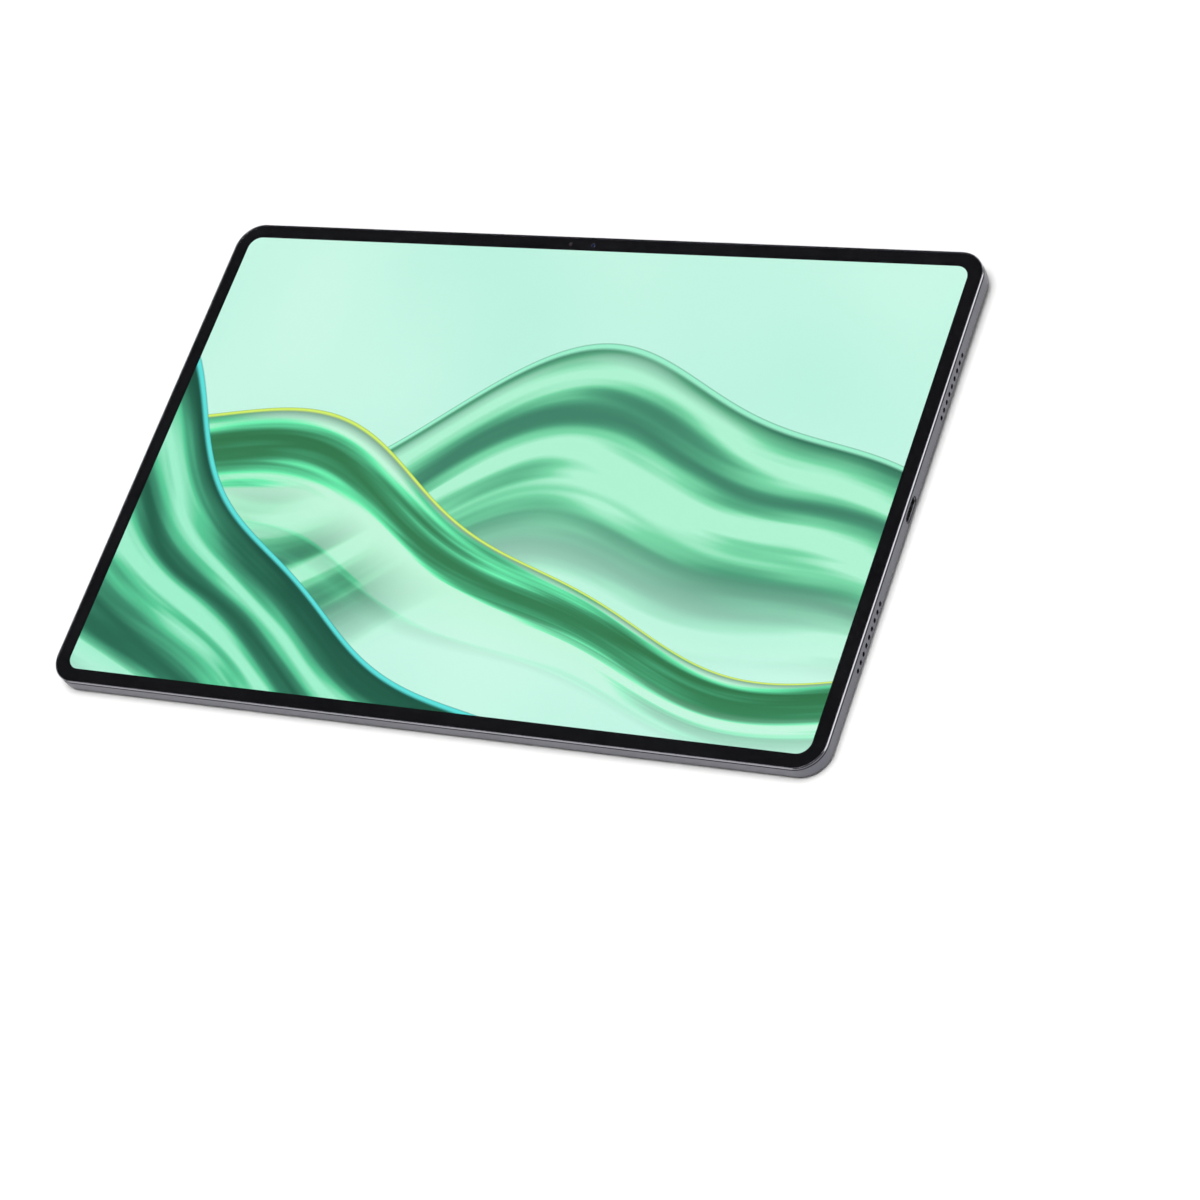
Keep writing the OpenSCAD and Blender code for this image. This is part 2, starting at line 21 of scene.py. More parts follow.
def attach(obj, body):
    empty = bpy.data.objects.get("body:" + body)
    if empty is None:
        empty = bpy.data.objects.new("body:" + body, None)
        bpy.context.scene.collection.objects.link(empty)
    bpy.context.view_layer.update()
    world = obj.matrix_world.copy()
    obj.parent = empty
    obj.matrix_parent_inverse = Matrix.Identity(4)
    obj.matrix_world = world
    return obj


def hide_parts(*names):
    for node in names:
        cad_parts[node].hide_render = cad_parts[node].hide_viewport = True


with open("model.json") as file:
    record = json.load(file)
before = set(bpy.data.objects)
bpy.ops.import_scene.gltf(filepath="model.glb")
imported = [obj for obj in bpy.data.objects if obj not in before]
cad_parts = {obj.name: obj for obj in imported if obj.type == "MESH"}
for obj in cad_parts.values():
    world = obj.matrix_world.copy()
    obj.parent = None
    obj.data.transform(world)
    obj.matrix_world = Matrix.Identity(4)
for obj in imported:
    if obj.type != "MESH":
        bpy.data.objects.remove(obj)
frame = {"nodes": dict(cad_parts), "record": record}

MM = 0.001
MATH = "ShaderNodeMath"
log = logging.getLogger("tablet")


class Body(Enum):
    """Bodies of the model that a piece can ride on."""

    TABLET = "tablet"
    POWER_KEY = "power_key"
    VOLUME_KEY = "volume_key"


class Facing(Enum):
    """Ways a section's own +Z can point; the rows give the frame's X, Y and Z."""

    PLUS_X = ((0, 0, 1), (0, 1, 0), (-1, 0, 0))
    MINUS_X = ((0, 0, -1), (0, 1, 0), (1, 0, 0))
    PLUS_Y = ((1, 0, 0), (0, 0, 1), (0, -1, 0))


# ---- Surfaces ----


@dataclass
class Shell:
    """Closed surface in millimetres.

    Attributes:
        points: corner points, one row each.
        quads: four point numbers a row, anticlockwise seen from outside.
        caps: flat ends, each an array of point numbers.
        finish: finish number of each quad; the caps take number 0.
    """

    points: np.ndarray
    quads: np.ndarray
    caps: list[np.ndarray]
    finish: np.ndarray

    def copies(self, moves: Sequence[Sequence[float]]) -> "Shell":
        """Repeats the surface at each move.

        Args:
            moves: distances along X, Y and Z, one row for each copy.

        Returns:
            All the copies as one surface.
        """
        shift = np.asarray(moves, float)
        count = len(self.points)
        starts = np.arange(len(shift)) * count
        return Shell(
            (self.points[None] + shift[:, None]).reshape(-1, 3),
            (self.quads[None] + starts[:, None, None]).reshape(-1, 4),
            [cap + start for start in starts for cap in self.caps],
            np.tile(self.finish, len(shift)),
        )

    def faced(self, facing: Facing) -> "Shell":
        """Surface turned about the origin so that its own +Z points the given way."""
        turned = self.points @ np.array(facing.value, float).T
        return Shell(turned, self.quads, self.caps, self.finish)


def joined(shells: Sequence[Shell]) -> Shell:
    """Puts several surfaces into one.

    Args:
        shells: the surfaces.

    Returns:
        One surface with the point numbers of the later ones moved up.
    """
    starts = np.cumsum([0] + [len(shell.points) for shell in shells[:-1]])
    return Shell(
        np.concatenate([shell.points for shell in shells]),
        np.concatenate([shell.quads + start for shell, start in zip(shells, starts)]),
        [cap + start for shell, start in zip(shells, starts) for cap in shell.caps],
        np.concatenate([shell.finish for shell in shells]),
    )


@dataclass(frozen=True)
class Outline:
    """Rounded rectangle seen from above. A pill's radius is half its width, and a circle's length too.

    Attributes:
        length: size along X.
        width: size along Y.
        radius: corner radius.
        centre: middle of the outline.
        steps: segments in each quarter turn.
    """

    length: float
    width: float
    radius: float
    centre: tuple[float, float] = (0.0, 0.0)
    steps: int = 12

    def inset_by(self, insets: np.ndarray) -> np.ndarray:
        """Outlines at several distances inside the edge.

        A point is its corner's centre plus (radius - inset) times a direction that turns a
        quarter round that corner, and the straight sides run between the corners' ends.

        Args:
            insets: distances inwards from the outline; negative ones lie outside it.

        Returns:
            Array of insets by points by two coordinates.
        """
        quarter = np.linspace(0.0, 1.0, self.steps + 1)
        turns = ((np.arange(4)[:, None] + quarter[None]) * (np.pi / 2)).ravel()
        directions = np.stack([np.cos(turns), np.sin(turns)], axis=-1)
        signs = np.array([[1, 1], [-1, 1], [-1, -1], [1, -1]], float)
        half = np.array([self.length, self.width]) / 2 - self.radius
        corners = np.repeat(signs * half + self.centre, self.steps + 1, axis=0)
        rim = corners + self.radius * directions
        kept = np.linalg.norm(rim - np.roll(rim, 1, axis=0), axis=1) > 1e-6
        return corners[kept] + (self.radius - insets[:, None, None]) * directions[kept]


def circle(radius: float, centre: tuple[float, float] = (0.0, 0.0), steps: int = 12) -> Outline:
    """Outline of a circle."""
    return Outline(2 * radius, 2 * radius, radius, centre, steps)


def rounded(corners: Sequence[Sequence[float]], radii: Sequence[float], steps: int = 4) -> np.ndarray:
    """Rounds the corners of a section.

    A corner P whose sides leave it along the unit vectors u and v becomes the arc that touches
    them at r / tan(half the angle) from P. Its points are the even swing, about the arc's centre,
    from one touching point to the other.

    Args:
        corners: inset and height of each corner.
        radii: radius at each corner; 0 keeps it sharp.
        steps: segments in each arc.

    Returns:
        Insets and heights of the rounded section.
    """
    corner = np.asarray(corners, float)
    radius = np.asarray(radii, float)[:, None]
    u = np.roll(corner, 1, axis=0) - corner
    v = np.roll(corner, -1, axis=0) - corner
    u /= np.linalg.norm(u, axis=1, keepdims=True)
    v /= np.linalg.norm(v, axis=1, keepdims=True)
    half = np.arccos(np.clip((u * v).sum(1, keepdims=True), -0.9999, 0.9999)) / 2
    middle = (u + v) / np.maximum(np.linalg.norm(u + v, axis=1, keepdims=True), 1e-9)
    centre = corner + middle * radius / np.sin(half)
    first = corner + u * radius / np.tan(half) - centre
    last = corner + v * radius / np.tan(half) - centre
    swing = (np.pi - 2 * half)[:, None]
    share = np.linspace(0.0, 1.0, steps + 1)[None, :, None]
    arc = np.sin((1 - share) * swing) * first[:, None] + np.sin(share * swing) * last[:, None]
    points = (centre[:, None] + arc / np.sin(swing)).reshape(-1, 2)
    kept = np.linalg.norm(points - np.roll(points, 1, axis=0), axis=1) > 1e-6
    kept[0] = True
    return points[kept]


def swept(
    outline: Outline,
    section: Union[np.ndarray, Sequence[Sequence[float]]],
    closed: bool = False,
    polished: Sequence[int] = (),
) -> Shell:
    """Carries a section round an outline.

    Point (i, j) lies at height z_i on the outline moved inwards by inset_i. The section runs from
    the bottom outwards, up and back in, so that the faces look outwards.

    Args:
        outline: path seen from above.
        section: inset and height of each section point.
        closed: True joins the section's ends into a ring; False closes them with flat caps.
        polished: numbers of the section's segments that take finish 1.

    Returns:
        The closed surface.
    """
    section = np.asarray(section, float)
    flat = outline.inset_by(section[:, 0])
    rows, count = flat.shape[:2]
    heights = np.broadcast_to(section[:, 1, None, None], (rows, count, 1))
    points = np.concatenate([flat, heights], axis=2).reshape(-1, 3)
    row = np.arange(rows if closed else rows - 1)[:, None]
    column = np.arange(count)[None]
    above, beside = (row + 1) % rows, (column + 1) % count
    corners = (row * count + column, row * count + beside, above * count + beside, above * count + column)
    quads = np.stack(corners, axis=-1).reshape(-1, 4)
    finish = np.isin(np.repeat(row.ravel(), count), polished).astype(int)
    around = np.arange(count)
    caps = [] if closed else [around[::-1], (rows - 1) * count + around]
    return Shell(points, quads, caps, finish)


def make_object(name: str, shell: Shell, finishes: Sequence[bpy.types.Material]) -> bpy.types.Object:
    """Makes a mesh object of a surface, in metres.

    Args:
        name: object's name.
        shell: surface in millimetres.
        finishes: materials in the order of the surface's finish numbers.

    Returns:
        The object, linked to the scene.
    """
    mesh = bpy.data.meshes.new(name)
    faces = shell.quads.tolist() + [cap.tolist() for cap in shell.caps]
    mesh.from_pydata((shell.points * MM).tolist(), [], faces)
    for finish in finishes:
        mesh.materials.append(finish)
    numbers = np.concatenate([shell.finish, np.zeros(len(shell.caps), int)]).astype(np.int32)
    mesh.polygons.foreach_set("material_index", numbers)
    made = bpy.data.objects.new(name, mesh)
    bpy.context.scene.collection.objects.link(made)
    return made


def cut(piece: bpy.types.Object, cutters: Shell) -> None:
    """Takes shapes out of a piece and keeps the result as its mesh.

    Args:
        piece: the piece to cut.
        cutters: closed surfaces that don't touch each other.
    """
    tool = make_object("cutters", cutters, [])
    opening = piece.modifiers.new("openings", "BOOLEAN")
    opening.operation = "DIFFERENCE"
    opening.solver = "EXACT"
    opening.object = tool
    graph = bpy.context.evaluated_depsgraph_get()
    whole = piece.data
    piece.data = bpy.data.meshes.new_from_object(piece.evaluated_get(graph))
    piece.data.name = whole.name
    piece.modifiers.clear()
    bpy.data.meshes.remove(whole)
    bpy.data.meshes.remove(tool.data)


def settle(
    piece: bpy.types.Object,
    body: Body,
    replaced: Sequence[str] = (),
    crease: float = 35.0,
) -> bpy.types.Object:
    """Shades a finished piece and ties it to the model.

    Args:
        piece: the piece.
        body: body that it rides on.
        replaced: nodes that it stands for.
        crease: angle in degrees past which an edge stays sharp.

    Returns:
        The same piece.
    """
    piece.data.shade_smooth()
    piece.data.set_sharp_from_angle(angle=math.radians(crease))
    even = piece.modifiers.new("even_shading", "WEIGHTED_NORMAL")
    even.keep_sharp = True
    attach(piece, body.value)
    if replaced:
        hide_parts(*replaced)
    log.info("%s: %d faces on %s", piece.name, len(piece.data.polygons), body.value)
    return piece


# ---- Finishes ----


def linear(colour: str) -> tuple[float, float, float, float]:
    """Turns an sRGB hex colour into linear red, green, blue and alpha.

    Args:
        colour: six hex digits after a #.

    Returns:
        Linear values from 0 to 1.
    """
    coded = np.array([int(colour[i : i + 2], 16) / 255 for i in (1, 3, 5)])
    lit = np.where(coded <= 0.04045, coded / 12.92, ((coded + 0.055) / 1.055) ** 2.4)
    return (float(lit[0]), float(lit[1]), float(lit[2]), 1.0)


def add(
    tree: bpy.types.NodeTree,
    kind: str,
    feeds: Optional[Mapping[Union[int, str], Any]] = None,
    out: Union[int, str] = 0,
    stops: Sequence[tuple[float, Sequence[float]]] = (),
    **settings: Any,
) -> Optional[bpy.types.NodeSocket]:
    """Adds a node with its settings and links.

    Args:
        tree: node tree.
        kind: the node's type.
        feeds: input names or numbers, each with a socket to link or a value to set.
        out: output to hand back.
        stops: places and colours, for a colour ramp.
        settings: the node's own properties.

    Returns:
        The chosen output, or None where the node has no output.
    """
    node = tree.nodes.new(kind)
    for name, value in settings.items():
        setattr(node, name, value)
    for name, value in (feeds or {}).items():
        if isinstance(value, bpy.types.NodeSocket):
            tree.links.new(value, node.inputs[name])
        else:
            node.inputs[name].default_value = value
    for number, (place, colour) in enumerate(stops):
        elements = node.color_ramp.elements
        element = elements[number] if number < 2 else elements.new(place)
        element.position = place
        element.color = colour
    return node.outputs[out] if len(node.outputs) else None


@dataclass(frozen=True)
class Finish:
    """Surface with a fine grain: two tones in broad soft patches, and a relief from the grain.

    Attributes:
        title: material's name.
        light: lighter tone.
        dark: darker tone.
        roughness: mean roughness.
        swing: how far the grain moves the roughness either way.
        metallic: 1 for a metal.
        coat: weight of a clear top coat.
        grain: size of the grain in mm.
        relief: height of the grain in mm.
        patch: size of the soft patches in mm.
        stretch: how many times longer the grain is along X, Y and Z.
        gloss: specular level; 0 for a coat of ink bonded to the glass over it, with no air between.
    """

    title: str
    light: str
    dark: str
    roughness: float = 0.5
    swing: float = 0.06
    metallic: float = 0.0
    coat: float = 0.0
    grain: float = 0.3
    relief: float = 0.006
    patch: float = 18.0
    stretch: tuple[float, float, float] = (1.0, 1.0, 1.0)
    gloss: float = 0.5

    def tones(self, tree: bpy.types.NodeTree, place: bpy.types.NodeSocket) -> bpy.types.NodeSocket:
        """Colour: the two tones mixed by soft noise of the patch size."""
        feeds = {"Vector": place, "Scale": 1 / (self.patch * MM), "Detail": 4.0}
        patches = add(tree, "ShaderNodeTexNoise", feeds)
        stops = [(0.3, linear(self.dark)), (0.7, linear(self.light))]
        return add(tree, "ShaderNodeValToRGB", {0: patches}, stops=stops)

    def height(self, tree: bpy.types.NodeTree, place: bpy.types.NodeSocket) -> bpy.types.NodeSocket:
        """Relief from 0 to 1: noise of the grain's size, drawn out along the stretched axes."""
        scale = tuple(1 / length for length in self.stretch)
        drawn = add(tree, "ShaderNodeMapping", {"Vector": place, "Scale": scale})
        feeds = {"Vector": drawn, "Scale": 1 / (self.grain * MM), "Detail": 3.0}
        return add(tree, "ShaderNodeTexNoise", feeds)

    def shader_values(self) -> dict[str, Any]:
        """Values that are the same all over the surface, by the shader's socket."""
        return {"Metallic": self.metallic, "Coat Weight": self.coat, "Specular IOR Level": self.gloss}

    def material(self) -> bpy.types.Material:
        """Makes the material once and hands back the same one after that.

        Returns:
            The material.
        """
        known = bpy.data.materials.get(self.title)
        if known:
            return known
        made = bpy.data.materials.new(self.title)
        made.use_nodes = True
        tree = made.node_tree
        tree.nodes.clear()
        place = add(tree, "ShaderNodeTexCoord", out="Object")
        height = self.height(tree, place)
        low, high = self.roughness - self.swing, self.roughness + self.swing
        feeds = {"Value": height, "From Min": 0.3, "From Max": 0.7, "To Min": low, "To Max": high}
        rough = add(tree, "ShaderNodeMapRange", feeds)
        feeds = {"Height": height, "Distance": self.relief * MM}
        normal = add(tree, "ShaderNodeBump", feeds)
        feeds = {"Base Color": self.tones(tree, place), "Roughness": rough, "Normal": normal}
        shader = add(tree, "ShaderNodeBsdfPrincipled", {**feeds, **self.shader_values()})
        add(tree, "ShaderNodeOutputMaterial", {"Surface": shader})
        return made


@dataclass(frozen=True)
class Traced(Finish):
    """Circuit material: straight copper tracks under a lacquer, as long bricks' joints.

    Attributes:
        track: colour of the lacquer over a track.
        pitch: distance between tracks in mm.
        run: length of a track before it steps aside, in mm.
        along: angle in degrees by which the tracks are turned from X.
    """

    track: str = "#2f7d5a"
    pitch: float = 0.8
    run: float = 7.0
    along: float = 0.0

    def tracks(self, tree: bpy.types.NodeTree, place: bpy.types.NodeSocket, out: str) -> bpy.types.NodeSocket:
        """Brick pattern whose joints are the tracks; its colour or its factor."""
        turn = (0.0, 0.0, math.radians(self.along))
        turned = add(tree, "ShaderNodeMapping", {"Vector": place, "Rotation": turn})
        feeds = {
            "Vector": turned,
            "Color1": linear(self.light),
            "Color2": linear(self.dark),
            "Mortar": linear(self.track),
            "Scale": 1 / (self.pitch * MM),
            "Mortar Size": 0.14,
            "Mortar Smooth": 0.2,
            "Brick Width": self.run / self.pitch,
            "Row Height": 1.0,
        }
        return add(tree, "ShaderNodeTexBrick", feeds, out=out)

    def tones(self, tree: bpy.types.NodeTree, place: bpy.types.NodeSocket) -> bpy.types.NodeSocket:
        """Colour: lacquer in two tones, with the tracks a third."""
        return self.tracks(tree, place, "Color")

    def height(self, tree: bpy.types.NodeTree, place: bpy.types.NodeSocket) -> bpy.types.NodeSocket:
        """Relief from 0 to 1: the tracks stand above the board."""
        return self.tracks(tree, place, "Fac")


@dataclass(frozen=True)
class Studded(Finish):
    """Surface with round spots in a regular grid, such as printed dots or a perforated mesh.

    Attributes:
        spot: colour of the spots.
        pitch: distance between spots in mm.
        spot_share: a spot's radius as a share of the pitch.
    """

    spot: str = "#ffffff"
    pitch: float = 0.8
    spot_share: float = 0.3

    def distance(self, tree: bpy.types.NodeTree, place: bpy.types.NodeSocket) -> bpy.types.NodeSocket:
        """Distance from the nearest spot's centre, as a share of the pitch."""
        feeds = {"Vector": place, "Scale": 1 / (self.pitch * MM), "Randomness": 0.0}
        return add(tree, "ShaderNodeTexVoronoi", feeds, out="Distance")

    def tones(self, tree: bpy.types.NodeTree, place: bpy.types.NodeSocket) -> bpy.types.NodeSocket:
        """Colour: spots on the ground, with a narrow soft edge."""
        base, spot = linear(self.light), linear(self.spot)
        stops = [(self.spot_share, spot), (self.spot_share + 0.08, base)]
        return add(tree, "ShaderNodeValToRGB", {0: self.distance(tree, place)}, stops=stops)

    def height(self, tree: bpy.types.NodeTree, place: bpy.types.NodeSocket) -> bpy.types.NodeSocket:
        """Relief from 0 to 1: the ground stands above the spots."""
        return self.distance(tree, place)


@dataclass(frozen=True)
class Turned(Finish):
    """Lathe-turned surface: fine rings about a centre.

    Attributes:
        centre: the lathe's axis in mm along X and Y.
        groove: distance between turned rings in mm.
    """

    centre: tuple[float, float] = (0.0, 0.0)
    groove: float = 0.12

    def height(self, tree: bpy.types.NodeTree, place: bpy.types.NodeSocket) -> bpy.types.NodeSocket:
        """Relief from 0 to 1: half of one plus the sine of the distance from the axis."""
        shift = (-self.centre[0] * MM, -self.centre[1] * MM, 0.0)
        feeds = {"Vector": place, "Location": shift, "Scale": (1.0, 1.0, 0.0)}
        centred = add(tree, "ShaderNodeMapping", feeds)
        feeds = {0: centred}
        reach = add(tree, "ShaderNodeVectorMath", feeds, out="Value", operation="LENGTH")
        turn = add(tree, MATH, {0: reach, 1: 2 * math.pi / (self.groove * MM)}, operation="MULTIPLY")
        wave = add(tree, MATH, {0: turn}, operation="SINE")
        return add(tree, MATH, {0: wave, 1: 0.5, 2: 0.5}, operation="MULTIPLY_ADD")


@dataclass(frozen=True)
class Glass(Finish):
    """Clear glass. The shader's constants carry it, and a very shallow waviness breaks up mirrored edges.

    Attributes:
        ior: index of refraction.
    """

    ior: float = 1.52

    def material(self) -> bpy.types.Material:
        """Makes the material once and hands back the same one after that.

        Returns:
            The material.
        """
        known = bpy.data.materials.get(self.title)
        if known:
            return known
        made = bpy.data.materials.new(self.title)
        made.use_nodes = True
        tree = made.node_tree
        tree.nodes.clear()
        place = add(tree, "ShaderNodeTexCoord", out="Object")
        height = self.height(tree, place)
        normal = add(tree, "ShaderNodeBump", {"Height": height, "Distance": self.relief * MM})
        feeds = {
            "Base Color": linear(self.light),
            "Roughness": self.roughness,
            "IOR": self.ior,
            "Transmission Weight": 1.0,
            "Normal": normal,
        }
        shader = add(tree, "ShaderNodeBsdfPrincipled", feeds)
        add(tree, "ShaderNodeOutputMaterial", {"Surface": shader})
        return made


@dataclass(frozen=True)
class CoatedLens(Finish):
    """Dark lens with an anti-reflective coating whose tint moves from the middle to the rim."""

    def tones(self, tree: bpy.types.NodeTree, place: bpy.types.NodeSocket) -> bpy.types.NodeSocket:
        """Colour: the dark tone face on and the light tone at a slant."""
        slant = add(tree, "ShaderNodeLayerWeight", {"Blend": 0.35}, out="Facing")
        stops = [(0.05, linear(self.dark)), (0.6, linear(self.light))]
        return add(tree, "ShaderNodeValToRGB", {0: slant}, stops=stops)


@dataclass(frozen=True)
class SilkSheet:
    """One fold of silk in the screen's picture, drawn below a wavy edge.

    Lengths are in units of 100 mm on the screen.

    Attributes:
        turn: angle of the sheet from the long side, in degrees.
        level: mean height of its edge.
        swell: height of the edge's wave.
        pace: how fast the wave turns along the sheet.
        phase: where the wave starts.
        depth: how far the sheet hangs below its edge.
        pinch: how far that depth changes along the sheet, as a share.
        folds: number of folds across the depth.
        fade: share of the depth after which it starts to clear.
        lift: how much lighter the sheet gets over its depth.
        tones: darkest to lightest colour of the folds.
        line: colour of the thin line along the edge.
    """

    turn: float
    level: float
    swell: float
    pace: float
    phase: float
    depth: float
    pinch: float
    folds: float
    fade: float
    lift: float
    tones: tuple[str, str, str, str]
    line: str

    def over(
        self,
        tree: bpy.types.NodeTree,
        place: bpy.types.NodeSocket,
        under: bpy.types.NodeSocket,
    ) -> bpy.types.NodeSocket:
        """Lays the sheet over what is already drawn.

        With a along the sheet and b across it, the edge is level + swell * (sin(pace * a + phase)
        + 0.3 * sin(2.3 * pace * a + 1.7 * phase)), and t is the distance below the edge divided
        by the depth there. Folds are a sine of t plus a broad and a fine noise, both drawn out along
        the sheet, and the colour gets lighter by lift over the depth.

        Args:
            tree: node tree.
            place: position on the screen.
            under: colour already drawn.

        Returns:
            The colour with the sheet on it.
        """
        feeds = {"Vector": place, "Rotation": (0.0, 0.0, -math.radians(self.turn))}
        turned = add(tree, "ShaderNodeMapping", feeds)
        along = add(tree, "ShaderNodeSeparateXYZ", {0: turned}, out="X")
        across = add(tree, "ShaderNodeSeparateXYZ", {0: turned}, out="Y")
        step = add(tree, MATH, {0: along, 1: self.pace, 2: self.phase}, operation="MULTIPLY_ADD")
        wave = add(tree, MATH, {0: step}, operation="SINE")
        quick = add(tree, MATH, {0: step, 1: 2.3, 2: -0.6 * self.phase}, operation="MULTIPLY_ADD")
        ripple = add(tree, MATH, {0: quick}, operation="SINE")
        both = add(tree, MATH, {0: ripple, 1: 0.3, 2: wave}, operation="MULTIPLY_ADD")
        edge = add(tree, MATH, {0: both, 1: self.swell, 2: self.level}, operation="MULTIPLY_ADD")
        drop = add(tree, MATH, {0: edge, 1: across}, operation="SUBTRACT")
        slow = add(tree, MATH, {0: step, 1: 0.7, 2: 1.1}, operation="MULTIPLY_ADD")
        spread = add(tree, MATH, {0: slow}, operation="SINE")
        feeds = {0: spread, 1: self.depth * self.pinch, 2: self.depth}
        hang = add(tree, MATH, feeds, operation="MULTIPLY_ADD")
        t = add(tree, MATH, {0: drop, 1: hang}, operation="DIVIDE")
        drawn = add(tree, "ShaderNodeCombineXYZ", {"X": along, "Y": t, "Z": self.phase})
        broad = add(tree, "ShaderNodeMapping", {"Vector": drawn, "Scale": (0.8, 3.4, 1.0)})
        fine = add(tree, "ShaderNodeMapping", {"Vector": drawn, "Scale": (1.2, 26.0, 1.0)})
        broad = add(tree, "ShaderNodeTexNoise", {"Vector": broad, "Scale": 1.0, "Detail": 2.0})
        fine = add(tree, "ShaderNodeTexNoise", {"Vector": fine, "Scale": 1.0, "Detail": 1.0})
        feeds = {0: t, 1: self.folds * 2 * math.pi, 2: self.phase}
        pleat = add(tree, MATH, feeds, operation="MULTIPLY_ADD")
        wander = add(tree, MATH, {0: broad, 1: 9.0, 2: pleat}, operation="MULTIPLY_ADD")
        wander = add(tree, MATH, {0: fine, 1: 1.4, 2: wander}, operation="MULTIPLY_ADD")
        crest = add(tree, MATH, {0: wander}, operation="SINE")
        crest = add(tree, MATH, {0: crest, 1: 0.5, 2: 0.5}, operation="MULTIPLY_ADD")
        tone = add(tree, MATH, {0: t, 1: self.lift, 2: crest}, operation="MULTIPLY_ADD")
        places = (0.0, 0.38, 0.78, 1.0)
        stops = [(spot, linear(colour)) for spot, colour in zip(places, self.tones)]
        body = add(tree, "ShaderNodeValToRGB", {0: tone}, stops=stops)
        bright, shadow = linear(self.line), linear("#174c3c")
        stops = [
            (0.0, shadow),
            (0.006, bright),
            (0.018, bright),
            (0.03, shadow[:3] + (0.6,)),
            (0.09, shadow[:3] + (0.0,)),
        ]
        trim = add(tree, "ShaderNodeValToRGB", {0: t}, stops=stops)
        trimmed_by = add(tree, "ShaderNodeValToRGB", {0: t}, out="Alpha", stops=stops)
        feeds = {0: trimmed_by, 6: body, 7: trim}
        edged = add(tree, "ShaderNodeMix", feeds, out=2, data_type="RGBA")
        clear, solid = (0.0, 0.0, 0.0, 1.0), (1.0, 1.0, 1.0, 1.0)
        stops = [(0.0, clear), (0.004, solid), (self.fade, solid), (1.0, clear)]
        veil = add(tree, "ShaderNodeValToRGB", {0: t}, stops=stops)
        feeds = {0: veil, 6: under, 7: edged}
        return add(tree, "ShaderNodeMix", feeds, out=2, data_type="RGBA")


# Deep, middle, bright and palest green of the picture's silk
DEEP_SILK = ("#1f5c47", "#3d8f6f", "#5ccf9c", "#a2f4d0")
FAR_SILK = ("#3c7d66", "#55ab84", "#7cdcab", "#b2f7d6")
LEAF_SILK = ("#2c6b3f", "#46a173", "#6ef5b4", "#c6fbdf")


@dataclass(frozen=True)
class SilkPicture(Finish):
    """Lit picture: sheets of green silk over a pale mint ground, made up from waves.

    Attributes:
        sheets: the sheets, from the farthest to the nearest.
        strength: brightness, a little over 1 for what the cover glass takes.
    """

    sheets: tuple[SilkSheet, ...] = ()
    strength: float = 1.06

    def material(self) -> bpy.types.Material:
        """Makes the material once and hands back the same one after that.

        Returns:
            The material.
        """
        known = bpy.data.materials.get(self.title)
        if known:
            return known
        made = bpy.data.materials.new(self.title)
        made.use_nodes = True
        tree = made.node_tree
        tree.nodes.clear()
        place = add(tree, "ShaderNodeTexCoord", out="Object")
        unit = (10.0, 10.0, 0.0)
        place = add(tree, "ShaderNodeMapping", {"Vector": place, "Scale": unit})
        picture = self.tones(tree, place)
        for sheet in self.sheets:
            picture = sheet.over(tree, place, picture)
        feeds = {
            "Base Color": linear("#060708"),
            "Roughness": self.roughness,
            "Specular IOR Level": 0.0,
            "Emission Color": picture,
            "Emission Strength": self.strength,
        }
        shader = add(tree, "ShaderNodeBsdfPrincipled", feeds)
        add(tree, "ShaderNodeOutputMaterial", {"Surface": shader})
        return made

    def tones(self, tree: bpy.types.NodeTree, place: bpy.types.NodeSocket) -> bpy.types.NodeSocket:
        """Ground colour: pale mint in broad soft patches of one screen unit."""
        feeds = {"Vector": place, "Scale": 0.9, "Detail": 1.0}
        patches = add(tree, "ShaderNodeTexNoise", feeds)
        stops = [(0.3, linear(self.dark)), (0.7, linear(self.light))]
        return add(tree, "ShaderNodeValToRGB", {0: patches}, stops=stops)


# Far fold at the right, narrow leaf-green fold across the middle, deep fold at the lower left
SHEETS = (
    SilkSheet(
        turn=-2.0, level=0.16, swell=0.30, pace=1.95, phase=0.75, depth=0.80,
        pinch=0.25, folds=2.6, fade=0.60, lift=0.22, tones=FAR_SILK, line="#9ff5d0",
    ),
    SilkSheet(
        turn=-14.0, level=-0.20, swell=0.15, pace=2.1, phase=3.0, depth=0.42,
        pinch=0.40, folds=1.5, fade=0.45, lift=0.35, tones=LEAF_SILK, line="#d8f56a",
    ),
    SilkSheet(
        turn=-36.0, level=-0.62, swell=0.13, pace=2.3, phase=5.3, depth=0.95,
        pinch=0.30, folds=3.0, fade=0.80, lift=0.12, tones=DEEP_SILK, line="#5fe6e0",
    ),
)

# Bead-blasted and anodised aluminium: satin, faintly violet grey, with a grain that only shows close up
BEAD_BLASTED = Finish(
    "bead_blasted_grey_aluminium", "#6f6f77", "#686870", 0.36, 0.05, 1.0, 0.0, 0.25, 0.004, 45.0
)
# The same metal on the rim, blasted more finely, so it takes a tighter highlight; its base colour, lighter
# than the housing's, is painted highlight
FINE_BLASTED_PAINTED_LIGHTER = Finish(
    "fine_blasted_rim_aluminium_painted_lighter", "#8f8f98", "#878790", 0.28, 0.04, 1.0, 0.0, 0.2, 0.002, 45.0
)
# Facet cut with a diamond tool: a bright line with long fine tool marks
DIAMOND_CUT = Finish(
    "diamond_cut_aluminium", "#dadae0", "#d2d2d8", 0.14, 0.04, 1.0, 0.0, 0.15, 0.001, 30.0, (20.0, 20.0, 1.0)
)
# Chemically strengthened glass; waves 30 mm long and two thousandths high bend its mirror image a little
COVER_GLASS = Glass("strengthened_cover_glass", "#ffffff", "#ffffff", 0.0, grain=30.0, relief=0.002)
# The island's own glass, flatter and with a trace of grey
ISLAND_GLASS = Glass("camera_cover_glass", "#f4f6f8", "#f4f6f8", 0.0, grain=12.0, relief=0.001)
